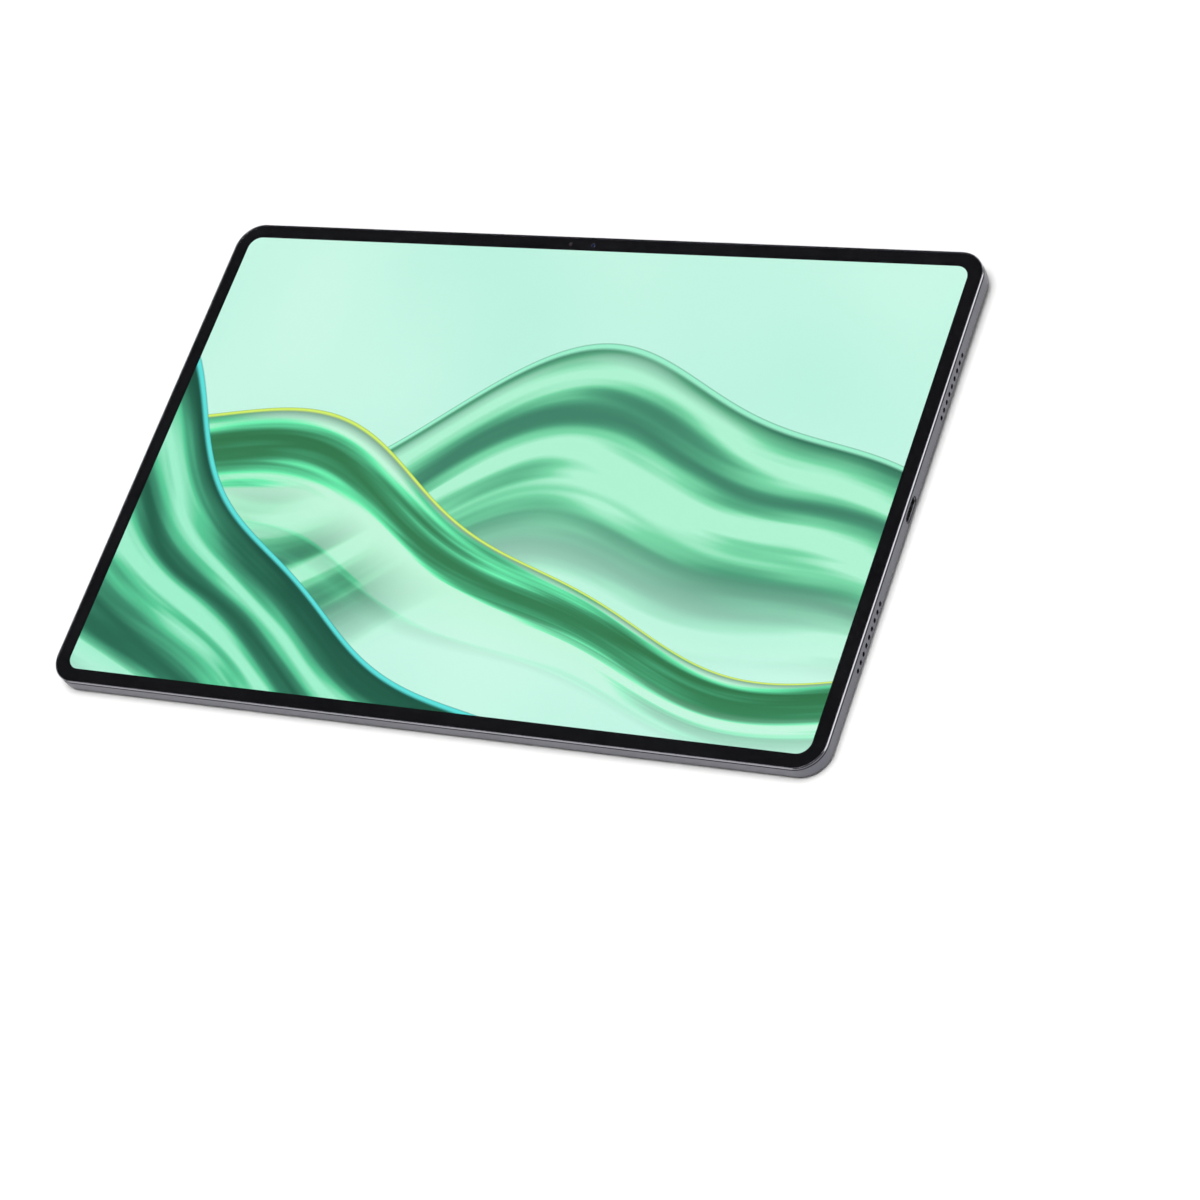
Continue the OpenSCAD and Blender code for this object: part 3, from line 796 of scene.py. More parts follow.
# Screen-printed ink behind glass: an even black with a very fine mottle
BORDER_INK = Finish(
    "screen_printed_black_ink", "#0c0c0e", "#08080a", 0.5, 0.05, grain=0.4, relief=0.001, gloss=0.0
)
SCREEN_PICTURE = SilkPicture("lit_screen_picture", "#cffdeb", "#bcf5e3", 0.35, sheets=SHEETS)
# Ground edge of the display glass
PANEL_EDGE = Finish("ground_panel_glass_edge", "#2a322f", "#1e2522", 0.45, 0.08, grain=0.2, relief=0.004)
# Moulded rubber seal, dull with a soft bloom; its near-black colour also stands in for the shade in the
# groove below the rim, painted shade
SEAL_AND_PAINTED_GROOVE_SHADE = Finish(
    "black_seal_and_painted_groove_shade", "#0a0a0b", "#060607", 0.75, 0.08, grain=0.3, relief=0.01, gloss=0.1
)
# Stainless steel with a black vacuum coating, polished, so that its lip catches thin highlights
BLACK_STEEL = Finish("black_coated_steel", "#26262b", "#1d1d21", 0.2, 0.04, 1.0, 0.0, 0.2, 0.001, 20.0)
# Black moulded parts with a fine spark-eroded texture
MOULDED_BLACK = Finish(
    "black_moulded_polycarbonate", "#1a1a1d", "#131315", 0.55, 0.08, grain=0.25, relief=0.01
)
GLOSS_BLACK = Finish(
    "polished_black_mask", "#050506", "#030304", 0.3, 0.03, grain=0.5, relief=0.001, gloss=0.1
)
# Multi-layer coating on a lens: blue-violet at a slant over a nearly black glass
LENS = CoatedLens("coated_lens_glass", "#222c58", "#05060a", 0.05, 0.01, 0.0, 1.0, 6.0, 0.0005)
# Nickel-plated drawn steel: fine lines along the drawing direction
NICKEL_STEEL = Finish(
    "nickel_plated_steel", "#b4b6ba", "#a5a7ac", 0.3, 0.07, 1.0, 0.0, 0.12, 0.002, 8.0, (10.0, 1.0, 1.0)
)
GOLD_PLATE = Finish("gold_plated_contact", "#e3b75f", "#d6a84c", 0.25, 0.05, 1.0, 0.0, 0.1, 0.001, 2.0)


def ring_metal(title: str, centre: tuple[float, float]) -> Turned:
    """Dark anodised ring turned about its own centre, its marks drawn twice as coarse as real ones."""
    return Turned(title, "#38383d", "#2f2f34", 0.34, 0.06, 1.0, 0.0, 0.2, 0.002, 10.0, centre=centre)


# Finishes of the record's material slots, for the nodes that are shown as they are
SLOT_FINISH: dict[str, Finish] = {
    "clear_glass": COVER_GLASS,
    "border_ink": BORDER_INK,
    "grey_aluminium": BEAD_BLASTED,
    # Rim metal painted lighter than the housing's: painted highlight
    "rim_aluminium": FINE_BLASTED_PAINTED_LIGHTER,
    "display_glass": PANEL_EDGE,
    # Polyester film with a matt back: an even white without shine
    "white_film": Finish("white_diffuser_film", "#f1f4f3", "#e6ebea", 0.6, 0.06, grain=0.2, relief=0.004),
    # Clear acrylic with printed dots, drawn a few times coarser than real ones
    "light_guide_acrylic": Studded("dotted_acrylic_light_guide", "#dfeef2", "#d2e6ec", 0.15, 0.03, pitch=1.2),
    # Rolled sheet: long fine lines along the rolling direction
    "tray_steel": Finish(
        "cold_rolled_steel_sheet", "#b6b8bc", "#a9abb0",
        0.38, 0.06, 1.0, 0.0, 0.3, 0.003, 30.0, (12.0, 1.0, 1.0),
    ),
    # Foam tape: dull black with a fine open grain
    "tape": Finish("black_acrylic_foam_tape", "#2b2b2e", "#222225", 0.85, 0.06, grain=0.25, relief=0.02),
    # Cloth tape: threads that run one way
    "white_tape": Finish(
        "woven_cloth_tape", "#e9e6dc", "#dcd8cc", 0.8, 0.06, grain=0.35, relief=0.02, stretch=(1.0, 6.0, 1.0)
    ),
    # Solder mask: satin green with lighter tracks under it
    "circuit_board": Traced("green_solder_mask_board", "#14513a", "#114833", 0.38, 0.06, relief=0.02),
    # Polyimide film: amber, with copper tracks along the cable
    "flex_film": Traced(
        "amber_polyimide_flex",
        "#b8741f",
        "#ad6b1a",
        0.35,
        0.05,
        relief=0.01,
        track="#d8953a",
        pitch=0.7,
        run=60.0,
        along=90.0,
    ),
    # Moulded epoxy: charcoal with a sandy grain
    "chip_resin": Finish(
        "black_epoxy_chip", "#2b2c2f", "#232427", 0.6, 0.08, grain=0.12, relief=0.006, patch=4.0
    ),
    # Rolled graphite: grey with soft dark smears
    "graphite": Finish(
        "rolled_graphite_sheet", "#3a3c40", "#2c2e32", 0.42, 0.1, 0.3, 0.0, 0.4, 0.01, 9.0, (8.0, 1.0, 1.0)
    ),
    "island_metal": BLACK_STEEL,
    "island_glass": ISLAND_GLASS,
    "black_plastic": MOULDED_BLACK,
    "lens_glass": LENS,
    # Laminated foil: dark, half glossy, with shallow dents
    "battery_foil": Finish(
        "laminated_battery_pouch", "#232428", "#17181b", 0.36, 0.1, 0.2, 0.0, 2.5, 0.05, 25.0
    ),
    "connector_steel": NICKEL_STEEL,
    # Small bright-plated parts
    "small_parts_metal": Finish("bright_small_parts_metal", "#c3c5c9", "#b4b6bb", 0.28, 0.06, 1.0, grain=0.1),
    # Nickel plating: greyer and smoother than the steel
    "magnet_metal": Finish(
        "nickel_plated_magnet", "#9b9da2", "#8b8d92", 0.22, 0.05, 1.0, grain=0.2, relief=0.002
    ),
    # Moulded carrier with a plated pattern
    "antenna_plastic": Traced(
        "antenna_carrier_with_pattern", "#d8d3c4", "#cfc9b9",
        0.5, 0.06, relief=0.02, track="#c69a4e", pitch=1.3, run=9.0,
    ),
}

# Nodes whose finish differs from that of their slot
NODE_FINISH: dict[str, Finish] = {
    # Printed plate behind the glass: black with a low shine
    "camera_mask": GLOSS_BLACK,
    # Filter glass: a brownish black
    "light_sensor": CoatedLens(
        "sensor_filter_glass", "#352a2c", "#171213", 0.12, 0.02, 0.0, 1.0, 4.0, 0.0005
    ),
    # Woven mesh: dark open cells, drawn coarser than the real weave
    "speaker_meshes": Studded(
        "woven_dust_mesh", "#3a3b40", "#303136",
        0.5, 0.1, 0.6, pitch=0.3, spot="#060607", spot_share=0.22, relief=0.05,
    ),
    # White strip with a yellow phosphor spot for each LED
    "led_bar": Studded("white_led_strip", "#d9d6cb", "#cfccbf", 0.5, 0.05, pitch=5.3, spot="#efe27a"),
}


# ---- The tablet's sub-assemblies ----


@dataclass
class Housing:
    """Rear housing in one piece with its side walls, and the openings in its edges.

    Attributes:
        body: outline of the whole tablet.
        top: height of the wall's upper edge.
        wall: wall thickness.
        floor: thickness of the rear wall.
        rear_edge: radius between the wall and the rear face.
        hole_height: height of the middle of every edge opening.
        grille_hole: diameter of a grille hole.
        grille_pitch: distance between neighbouring grille holes.
        grille_count: number of holes in a grille.
        grille_y: distance of a grille's middle from the tablet's middle.
        bevel: width of the bevel round every opening.
        top_edge: radius of the wall's upper outer edge.
    """

    body: Outline = Outline(277.0, 179.0, 9.3, steps=24)
    top: float = 5.15
    wall: float = 2.0
    floor: float = 0.8
    rear_edge: float = 1.8
    hole_height: float = 2.7
    grille_hole: float = 1.5
    grille_pitch: float = 2.8
    grille_count: int = 9
    grille_y: float = 43.3
    bevel: float = 0.12
    top_edge: float = 0.05

    def section(self) -> np.ndarray:
        """Wall's section from the rear face, round the outer edge and down to the inner floor."""
        corners = [
            (self.rear_edge + 2.0, 0.0),
            (0.0, 0.0),
            (0.0, self.top),
            (self.wall, self.top),
            (self.wall, self.floor),
            (self.wall + 2.0, self.floor),
        ]
        return rounded(corners, [0.0, self.rear_edge, self.top_edge, 0.05, 0.3, 0.0], steps=7)

    def opening(self, outline: Outline, facing: Facing, at: Sequence[Sequence[float]]) -> Shell:
        """Cutters for openings through a wall.

        Each is a straight bore that widens at 45 degrees over the bevel where it meets the wall.

        Args:
            outline: shape of the opening.
            facing: outward direction of the wall.
            at: points on the wall's outer face.

        Returns:
            The cutters.
        """
        proud = 0.5
        section = [(0.0, -self.wall - 1.0), (0.0, -self.bevel), (-self.bevel - proud, proud)]
        return swept(outline, section).faced(facing).copies(at)

    def grilles(self) -> list[Shell]:
        """Cutters for the four rows of round speaker holes."""
        row = (np.arange(self.grille_count) - (self.grille_count - 1) / 2) * self.grille_pitch
        y = np.concatenate([row - self.grille_y, row + self.grille_y])
        hole = circle(self.grille_hole / 2, steps=7)
        made = []
        for side, facing in ((1, Facing.PLUS_X), (-1, Facing.MINUS_X)):
            x = np.full_like(y, side * self.body.length / 2)
            at = np.stack([x, y, np.full_like(y, self.hole_height)], axis=1)
            made.append(self.opening(hole, facing, at))
        return made

    def build(self) -> bpy.types.Object:
        """Makes the housing with every opening cut.

        Returns:
            The housing.
        """
        end, edge, height = self.body.length / 2, self.body.width / 2, self.hole_height
        piece = make_object("housing", swept(self.body, self.section()), [BEAD_BLASTED.material()])
        island = Outline(38.9, 18.8, 9.4, (-111.35, 72.4), 20)
        island_hole = swept(island, [(-0.6, -0.5), (0.0, 0.1), (0.0, 2.0)])
        pocket = swept(Outline(5.2, 3.8, 0.3, (0.0, 86.6), 3), [(0.0, 1.0), (0.0, 7.0)])
        cutters = self.grilles() + [
            self.opening(Outline(3.2, 9.0, 1.6), Facing.PLUS_X, [(end, 0.0, height)]),
            self.opening(Outline(12.2, 2.3, 1.15), Facing.PLUS_Y, [(-104.0, edge, height)]),
            self.opening(Outline(22.2, 2.3, 1.15), Facing.PLUS_Y, [(-79.0, edge, height)]),
            self.opening(circle(0.4, steps=6), Facing.PLUS_Y, [(-36.0, edge, height), (62.0, edge, height)]),
            island_hole,
            pocket,
        ]
        cut(piece, joined(cutters))
        return settle(piece, Body.TABLET, ["rear_housing"])

    def build_bosses(self) -> bpy.types.Object:
        """Makes the screw bosses that stand on the housing's floor.

        Returns:
            The bosses as one piece.
        """
        ring = [(0.9, 0.0), (0.0, 0.0), (0.0, 1.6), (0.9, 1.6)]
        boss = swept(circle(1.6, steps=6), ring, closed=True)
        at = [(x, y, 0.4) for x in (-88.0, -8.0, 72.0) for y in (59.0, 79.0)]
        at += [(125.0, y, 0.7) for y in (-13.0, 13.0)]
        piece = make_object("housing_screw_bosses", boss.copies(at), [BEAD_BLASTED.material()])
        return settle(piece, Body.TABLET)


@dataclass
class Front:
    """Rim, seal whose black also paints the groove's shade, cover glass and lit display.

    Attributes:
        body: outline of the whole tablet.
        top: height of the rim.
        rim: width of the rim seen from the front.
        chamfer: width of the diamond-cut facet on its outer edge.
        groove: lower and upper height of the groove below the rim.
        groove_depth: depth of that groove.
        shelf: lower and upper height of the shelf that carries the glass.
        shelf_depth: how far the shelf reaches in.
        camera_at: middle of the front camera.
        sensor_at: middle of the light sensor.
    """

    body: Outline = Outline(277.0, 179.0, 9.3, steps=24)
    top: float = 6.3
    rim: float = 0.4
    chamfer: float = 0.2
    groove: tuple[float, float] = (5.15, 5.75)
    groove_depth: float = 0.15
    shelf: tuple[float, float] = (5.2, 5.52)
    shelf_depth: float = 3.4
    camera_at: tuple[float, float] = (0.0, 86.6)
    sensor_at: tuple[float, float] = (-8.4, 86.6)

    def build_rim(self) -> bpy.types.Object:
        """Makes the display frame: a rim with a diamond-cut facet on a shelf under the glass.

        Returns:
            The frame.
        """
        section = [
            (self.shelf_depth, self.shelf[0]),
            (self.groove_depth, self.shelf[0]),
            (self.groove_depth, self.groove[1]),
            (0.04, self.groove[1]),
            (0.0, self.groove[1] + 0.04),
            (0.0, self.top - self.chamfer),
            (self.chamfer, self.top),
            (self.rim, self.top),
            (self.rim, self.shelf[1]),
            (self.shelf_depth, self.shelf[1]),
        ]
        shell = swept(self.body, section, closed=True, polished=[5])
        # The rim's metal is painted lighter than the housing's, a painted highlight
        finishes = [FINE_BLASTED_PAINTED_LIGHTER.material(), DIAMOND_CUT.material()]
        piece = make_object("rim", shell, finishes)
        through = [(0.0, self.shelf[0] - 1.0), (0.0, self.top - 0.1)]
        sensor = Outline(2.4, 1.8, 0.2, self.sensor_at, 2)
        cut(piece, joined([swept(circle(1.25, self.camera_at, 6), through), swept(sensor, through)]))
        return settle(piece, Body.TABLET, ["display_frame"], crease=25.0)

    def build_seal_and_painted_shade(self) -> bpy.types.Object:
        """Makes the rubber bead that fills the groove below the rim; its black also paints the groove's
        shade.

        Returns:
            The seal.
        """
        low, high = self.groove[0] + 0.01, self.groove[1] - 0.01
        back, face = self.groove_depth - 0.01, 0.04
        corners = [(back, low), (face, low), (face, high), (back, high)]
        section = rounded(corners, [0.0, 0.03, 0.03, 0.0], steps=3)
        # The seal's black also stands in for the groove's shade: painted shade
        piece = make_object("groove_seal_and_painted_shade", swept(self.body, section, closed=True), [SEAL_AND_PAINTED_GROOVE_SHADE.material()])
        return settle(piece, Body.TABLET)

    def build_glass(self) -> bpy.types.Object:
        """Makes the cover glass with its softly rounded upper edge.

        Returns:
            The glass.
        """
        bottom, top = 5.7, 6.25
        outline = Outline(276.1, 178.1, 8.85, steps=24)
        corners = [(2.0, bottom), (0.0, bottom), (0.0, top), (2.0, top)]
        section = rounded(corners, [0.0, 0.06, 0.12, 0.0], steps=5)
        piece = make_object("screen_glass", swept(outline, section), [COVER_GLASS.material()])
        piece.visible_shadow = False
        return settle(piece, Body.TABLET, ["cover_glass"])

    def build_display(self) -> bpy.types.Object:
        """Makes the display cell, whose upper face carries the picture.

        Returns:
            The display.
        """
        outline = Outline(268.8, 170.8, 5.2, steps=12)
        section = [(0.0, 5.095), (0.0, 5.545), (0.05, 5.595)]
        shell = swept(outline, section, polished=[0, 1])
        finishes = [SCREEN_PICTURE.material(), PANEL_EDGE.material()]
        piece = make_object("lit_display", shell, finishes)
        return settle(piece, Body.TABLET, ["display_cell"])

    def build_camera(self) -> bpy.types.Object:
        """Makes the front camera's domed lens.

        Its height falls with the square of the distance from the axis.

        Returns:
            The lens.
        """
        radius, bottom, bulge = 0.71, 5.37, 0.14
        reach = radius * np.linspace(1.0, 0.08, 8)
        dome = np.stack([radius - reach, bottom + 0.01 + bulge * (1 - (reach / radius) ** 2)], axis=1)
        section = np.concatenate([[(0.0, bottom)], dome])
        shell = swept(circle(radius, self.camera_at, 8), section)
        piece = make_object("front_lens", shell, [LENS.material()])
        return settle(piece, Body.TABLET, ["front_camera_lens"])


@dataclass
class CameraIsland:
    """Raised pill on the rear face with its bezel, glass, two turned rings and the lens.

    Attributes:
        centre: middle of the pill.
        length: outer length of the bezel.
        width: outer width of the bezel.
        proud: height above the rear face.
        disc_shift: distance of each disc from the middle.
    """

    centre: tuple[float, float] = (-111.35, 72.4)
    length: float = 38.8
    width: float = 18.7
    proud: float = 1.5
    disc_shift: float = 9.8
    ring_radius: float = 7.9
    ring_width: float = 1.5
    ring_height: float = 0.14

    def disc(self, side: int) -> tuple[float, float]:
        """Centre of the disc on one side: -1 is the lens, 1 the blank one."""
        return (self.centre[0] + side * self.disc_shift, self.centre[1])

    def build_bezel(self) -> bpy.types.Object:
        """Makes the bezel: a standing wall with a rounded lip and a flange inside the housing.

        Returns:
            The bezel.
        """
        wall, flange, inside = 0.7, 1.2, 0.81
        corners = [
            (wall, -self.proud),
            (0.0, -self.proud),
            (0.0, inside),
            (-flange, inside),
            (-flange, 1.2),
            (wall, 1.2),
        ]
        section = rounded(corners, [0.12, 0.5, 0.0, 0.05, 0.05, 0.05], steps=6)
        outline = Outline(self.length, self.width, self.width / 2, self.centre, 24)
        shell = swept(outline, section, closed=True)
        piece = make_object("island_bezel", shell, [BLACK_STEEL.material()])
        return settle(piece, Body.TABLET, ["camera_bezel"])

    def build_glass(self) -> bpy.types.Object:
        """Makes the island's glass with its polished edge.

        Returns:
            The glass.
        """
        length, width = self.length - 1.5, self.width - 1.5
        outline = Outline(length, width, width / 2, self.centre, 24)
        corners = [(1.0, -1.35), (0.0, -1.35), (0.0, -0.85), (1.0, -0.85)]
        section = rounded(corners, [0.0, 0.12, 0.05, 0.0], steps=3)
        piece = make_object("island_glass", swept(outline, section), [ISLAND_GLASS.material()])
        piece.visible_shadow = False
        return settle(piece, Body.TABLET, ["camera_cover_glass"])

    def build_ring(self, side: int, name: str, replaced: str) -> bpy.types.Object:
        """Makes one turned ring with sloping sides and a groove in its face.

        Args:
            side: -1 for the lens's ring, 1 for the blank disc's.
            name: piece's name.
            replaced: node that it stands for.

        Returns:
            The ring.
        """
        face, back = -self.proud, -self.proud + self.ring_height
        slope, middle, groove = 0.25, self.ring_width / 2, 0.05
        section = [
            (self.ring_width, back),
            (self.ring_width - slope, face),
            (middle + 0.12, face),
            (middle + 0.08, face + groove),
            (middle - 0.08, face + groove),
            (middle - 0.12, face),
            (slope, face),
            (0.0, back),
        ]
        centre = self.disc(side)
        shell = swept(circle(self.ring_radius, centre, 24), section, closed=True)
        piece = make_object(name, shell, [ring_metal(name + "_anodised", centre).material()])
        return settle(piece, Body.TABLET, [replaced])

    def build_lens(self) -> list[bpy.types.Object]:
        """Makes the lens and the stepped collar that holds it.

        The dome's depth falls with the square of the distance from the axis.

        Returns:
            The lens and the collar.
        """
        centre, radius, rest, bulge = self.disc(-1), 1.62, -0.6, 0.17
        reach = radius * np.linspace(0.06, 1.0, 12)
        face = np.stack([radius - reach, rest - bulge * (1 - (reach / radius) ** 2)], axis=1)
        section = np.concatenate([face, [(0.0, -0.42)]])
        lens = make_object("rear_lens", swept(circle(radius, centre, 12), section), [LENS.material()])
        steps = [(0.66, -0.42), (0.66, -0.5), (0.44, -0.56), (0.44, -0.6), (0.22, -0.66), (0.22, -0.7)]
        collar_section = steps + [(0.0, -0.72), (0.0, -0.42)]
        shell = swept(circle(2.3, centre, 12), collar_section, closed=True)
        collar = make_object("lens_collar", shell, [MOULDED_BLACK.material()])
        settle(lens, Body.TABLET, ["rear_camera_lens"])
        settle(collar, Body.TABLET)
        return [lens, collar]


@dataclass
class UsbPort:
    """Receptacle in the short edge: a drawn steel shell and a tongue with its contacts.

    Attributes:
        mouth: distance of the shell's mouth from the origin along X.
        height: height of its middle.
    """

    mouth: float = 138.1
    height: float = 2.7
    depth: float = 7.3
    contact_count: int = 12
    contact_pitch: float = 0.5

    def build_shell(self) -> bpy.types.Object:
        """Makes the steel shell, open at the mouth and closed behind.

        Returns:
            The shell.
        """
        wall, lip, back = 0.2, 0.06, 0.5
        section = [
            (0.0, -self.depth),
            (0.0, -lip),
            (lip, 0.0),
            (wall - lip, 0.0),
            (wall, -lip),
            (wall, back - self.depth),
        ]
        shell = swept(Outline(3.0, 8.8, 1.5), section).faced(Facing.PLUS_X)
        shell = shell.copies([(self.mouth, 0.0, self.height)])
        piece = make_object("usb_port_shell", shell, [NICKEL_STEEL.material()])
        return settle(piece, Body.TABLET, ["usb_shell"])

    def build_tongue(self) -> bpy.types.Object:
        """Makes the tongue with a row of contacts that shows on both its faces.

        Returns:
            The tongue.
        """
        at = [(self.mouth, 0.0, self.height)]
        blade = swept(Outline(0.7, 6.6, 0.25, steps=3), [(0.0, -6.8), (0.0, -1.8), (0.18, -1.6)])
        contact = swept(Outline(0.74, 0.26, 0.05, steps=1), [(0.0, -6.0), (0.0, -2.3), (0.04, -2.2)])
        contact.finish[:] = 1
        row = (np.arange(self.contact_count) - (self.contact_count - 1) / 2) * self.contact_pitch
        contacts = contact.copies(np.stack([row * 0, row, row * 0], axis=1))
        shell = joined([blade, contacts]).faced(Facing.PLUS_X).copies(at)
        piece = make_object("usb_port_tongue", shell, [MOULDED_BLACK.material(), GOLD_PLATE.material()])
        return settle(piece, Body.TABLET, ["usb_tongue"])


@dataclass
class EdgeButton:
    """Button in the long edge, with the flange that keeps it in its slot.

    Attributes:
        name: piece's name.
        node: node that it stands for.
        body: body that it rides on.
        x: place along the edge.
        length: length of the cap.
        flange_back: distance of the flange's back from the origin along Y.
        nubs: nubs on the back: shift along X, length along X and depth.
    """

    name: str
    node: str
    body: Body
    x: float
    length: float
    flange_back: float
    nubs: tuple[tuple[float, float, float], ...]
    width: float = 2.1
    over: float = 0.6
    outer: float = 89.85
    height: float = 2.7

    def build(self) -> bpy.types.Object:
        """Makes the button: flange, cap with eased edges and a slightly crowned face, and nubs.

        Returns:
            The button.
        """
        wide = self.width + 2 * self.over
        outline = Outline(self.length + 2 * self.over, wide, wide / 2, steps=10)
        front = self.flange_back + 0.5
        corners = [
            (self.over, self.flange_back),
            (0.0, self.flange_back),
            (0.0, front),
            (self.over, front),
            (self.over, self.outer - 0.03),
            (self.over + 0.8, self.outer),
        ]
        section = rounded(corners, [0.0, 0.06, 0.06, 0.0, 0.16, 0.0], steps=4)
        parts = [swept(outline, section)]
        for shift, long, deep in self.nubs:
            nub = Outline(long, 1.6, 0.15, (shift, 0.0), 2)
            parts.append(swept(nub, [(0.0, self.flange_back - deep), (0.0, self.flange_back + 0.01)]))
        shell = joined(parts).faced(Facing.PLUS_Y).copies([(self.x, 0.0, self.height)])
        piece = make_object(self.name, shell, [BEAD_BLASTED.material()])
        return settle(piece, self.body, [self.node])


def dress_nodes() -> None:
    """Gives every node of the model its finish, by its own name or by its material slot."""
    slots = {part["node"]: part["material_slot"] for part in frame["record"]["subparts"]}
    for name, node in frame["nodes"].items():
        finish = NODE_FINISH.get(name, SLOT_FINISH[slots[name]])
        for slot in node.material_slots:
            slot.material = finish.material()
    log.info("dressed %d nodes", len(frame["nodes"]))


# ---- Studio ----


def bearing(azimuth: float, elevation: float) -> Vector:
    """Unit vector towards a place round the object.

    Args:
        azimuth: degrees from -Y towards +X.
        elevation: degrees above the horizon.

    Returns:
        The direction.
    """
    turn, rise = math.radians(azimuth), math.radians(elevation)
    level = math.cos(rise)
    return Vector((math.sin(turn) * level, -math.cos(turn) * level, math.sin(rise)))


@dataclass(frozen=True)
class Softbox:
    """Large soft lamp that looks at the object.

    Attributes:
        name: lamp's name.
        azimuth: degrees from -Y towards +X.
        elevation: degrees above the horizon.
        distance: metres from the object.
        size: width and height in metres.
        glow: brightness of its face.
    """

    name: str
    azimuth: float
    elevation: float
    distance: float
    size: tuple[float, float]
    glow: float

    def hang(self) -> None:
        """Puts the lamp up."""
        lamp = bpy.data.lights.new(self.name, "AREA")
        lamp.shape = "RECTANGLE"
        lamp.size, lamp.size_y = self.size
        lamp.energy = self.glow * math.pi * self.size[0] * self.size[1]
        direction = bearing(self.azimuth, self.elevation)
        made = bpy.data.objects.new(self.name, lamp)
        made.location = direction * self.distance
        made.rotation_euler = direction.to_track_quat("Z", "Y").to_euler()
        bpy.context.scene.collection.objects.link(made)


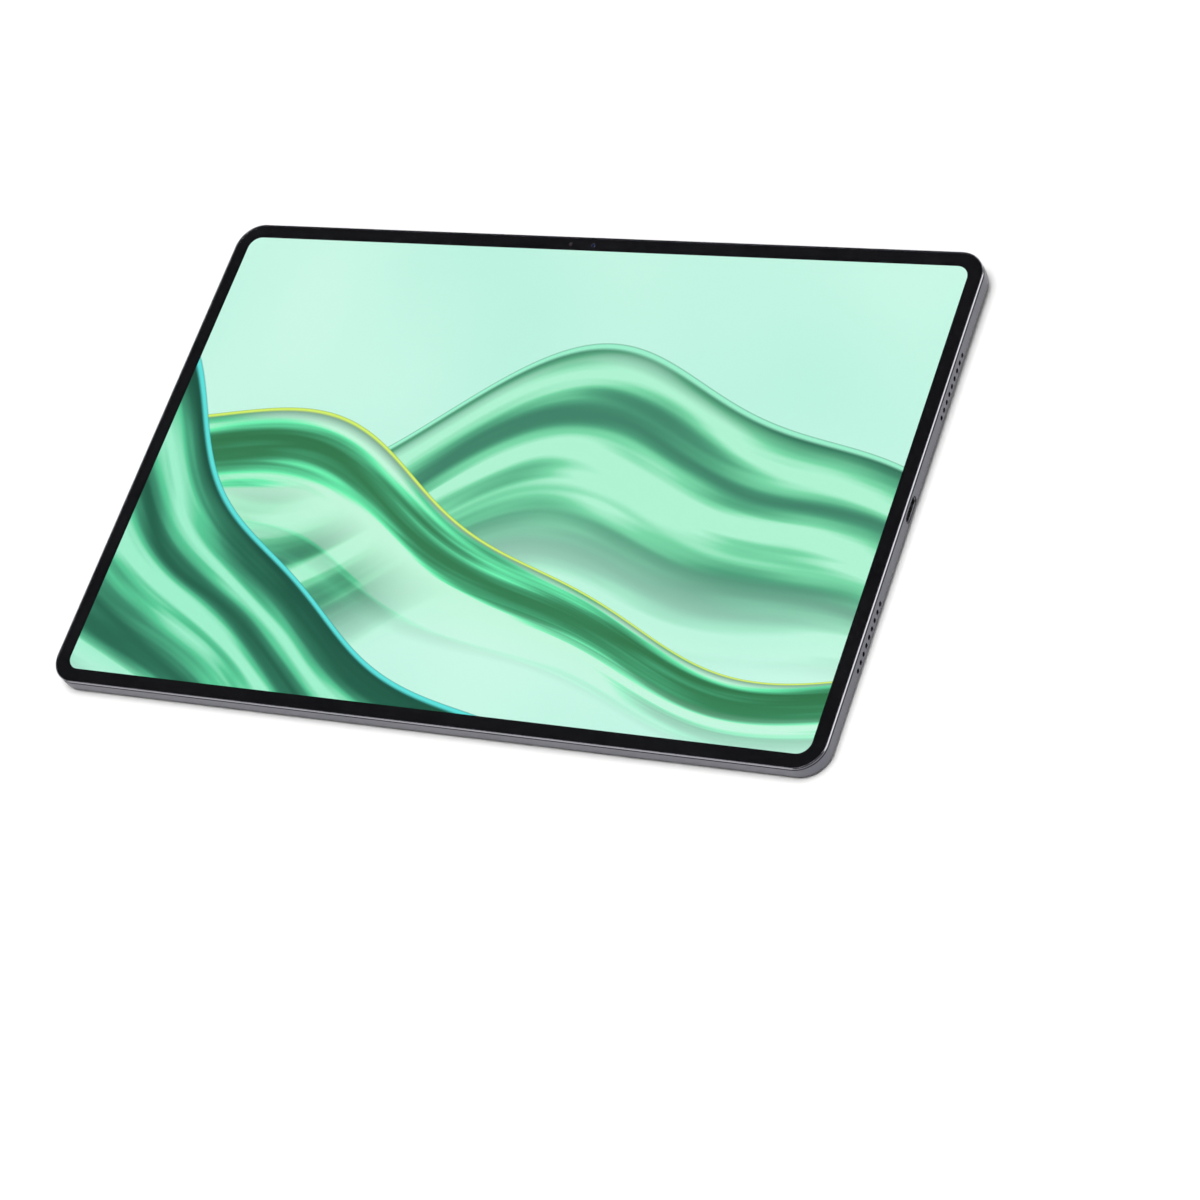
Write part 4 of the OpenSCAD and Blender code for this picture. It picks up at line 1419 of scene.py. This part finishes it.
@dataclass
class Studio:
    """Pale floor, bright horizon under a dim ceiling, overhead light, soft panels and the camera.

    Attributes:
        aim: point on the glass that the camera looks at, in mm.
        azimuth: the camera's bearing in degrees.
        elevation: the camera's height in degrees.
        distance: metres from the aim point.
        roll: turn of the camera about its axis in degrees.
        lens: focal length in mm on a 36 mm sensor.
        horizon: brightness of the surround near the floor.
        ceiling: brightness of the surround above it, dim so that the glass stays black.
        band: degrees above the horizon at which the bright part starts and stops fading.
        overhead: strength of the overhead light.
        overhead_width: how wide the overhead light looks from the object, in degrees.
        panels: soft panels, each mirrored by one edge of the rim.
    """

    aim: tuple[float, float, float] = (49.56, -41.55, 6.25)
    azimuth: float = 50.98
    elevation: float = 50.22
    distance: float = 1.0686
    roll: float = -37.92
    lens: float = 106.8
    horizon: float = 0.95
    ceiling: float = 0.02
    band: tuple[float, float] = (5.0, 15.0)
    overhead: float = 3.3
    overhead_width: float = 40.0
    panels: tuple[Softbox, ...] = (
        Softbox("right_panel", 115.0, 32.0, 1.6, (1.3, 0.8), 1.3),
        Softbox("front_panel", -33.0, 26.0, 1.6, (1.0, 0.6), 0.6),
    )

    def lay_floor(self) -> None:
        """Lays the floor against the long lower edge and the camera island, which the tablet rests on."""
        edge_y, island_y, island_drop = -88.1, 63.05, 1.5
        fall = island_drop / (island_y - edge_y)
        reach = 9000.0
        side = np.array([[-1, -1], [1, -1], [1, 1], [-1, 1]], float) * reach
        heights = -fall * (side[:, 1] - edge_y) - 0.01
        points = np.column_stack([side, heights])
        shell = Shell(points, np.array([[0, 1, 2, 3]]), [], np.array([0]))
        paper = Finish(
            "seamless_white_paper", "#f6f6f5", "#f3f3f2", 0.9, 0.03, grain=1.5, relief=0.01, patch=400.0
        )
        make_object("floor", shell, [paper.material()])

    def light_surround(self) -> None:
        """Makes the surround, bright near the floor and dim above."""
        world = bpy.data.worlds.new("surround")
        bpy.context.scene.world = world
        world.use_nodes = True
        tree = world.node_tree
        tree.nodes.clear()
        toward = add(tree, "ShaderNodeTexCoord", out="Generated")
        rise = add(tree, "ShaderNodeSeparateXYZ", {0: toward}, out="Z")
        low, high = (math.sin(math.radians(angle)) for angle in self.band)
        feeds = {
            "Value": rise,
            "From Min": low,
            "From Max": high,
            "To Min": self.horizon,
            "To Max": self.ceiling,
        }
        level = add(tree, "ShaderNodeMapRange", feeds, interpolation_type="SMOOTHSTEP")
        glow = add(tree, "ShaderNodeBackground", {"Color": linear("#ffffff"), "Strength": level})
        add(tree, "ShaderNodeOutputWorld", {"Surface": glow})

    def hang_overhead(self) -> None:
        """Hangs the wide overhead light, which lights the floor evenly however far it runs."""
        lamp = bpy.data.lights.new("overhead_light", "SUN")
        lamp.energy = self.overhead
        lamp.angle = math.radians(self.overhead_width)
        bpy.context.scene.collection.objects.link(bpy.data.objects.new("overhead_light", lamp))

    def place_camera(self) -> None:
        """Places the camera and rolls it about its axis."""
        back = bearing(self.azimuth, self.elevation)
        level = Vector((0, 0, 1)).cross(back).normalized()
        upright = back.cross(level)
        roll = math.radians(self.roll)
        right = level * math.cos(roll) + upright * math.sin(roll)
        up = back.cross(right)
        view = bpy.data.cameras.new("camera")
        view.lens = self.lens
        view.sensor_width = 36.0
        camera = bpy.data.objects.new("camera", view)
        turn = Matrix((right, up, back)).transposed()
        camera.matrix_world = Matrix.Translation(Vector(self.aim) * MM + back * self.distance) @ turn.to_4x4()
        bpy.context.scene.collection.objects.link(camera)
        bpy.context.scene.camera = camera

    def build(self) -> None:
        """Sets the studio up."""
        self.place_camera()
        self.lay_floor()
        self.light_surround()
        self.hang_overhead()
        for panel in self.panels:
            panel.hang()
        bpy.context.scene.view_settings.view_transform = "Standard"
        log.info("studio with %d panels", len(self.panels))


def main() -> None:
    """Builds the studio and every sub-assembly in order."""
    logging.basicConfig(level=logging.INFO, format="%(name)s %(message)s", stream=sys.stdout)
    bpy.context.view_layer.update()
    Studio().build()
    dress_nodes()
    housing = Housing()
    housing.build()
    housing.build_bosses()
    front = Front()
    front.build_rim()
    front.build_seal_and_painted_shade()
    front.build_glass()
    front.build_display()
    front.build_camera()
    island = CameraIsland()
    island.build_bezel()
    island.build_glass()
    island.build_ring(-1, "lens_ring", "main_camera_ring")
    island.build_ring(1, "blank_ring", "second_camera_ring")
    island.build_lens()
    port = UsbPort()
    port.build_shell()
    port.build_tongue()
    power_nubs = ((0.0, 2.0, 0.3),)
    EdgeButton("power_cap", "power_button", Body.POWER_KEY, -104.0, 12.0, 86.9, power_nubs).build()
    volume_nubs = ((-7.5, 1.0, 0.089), (7.5, 1.0, 0.089))
    EdgeButton("volume_cap", "volume_rocker", Body.VOLUME_KEY, -79.0, 22.0, 86.6, volume_nubs).build()


if __name__ == "__main__":
    main()
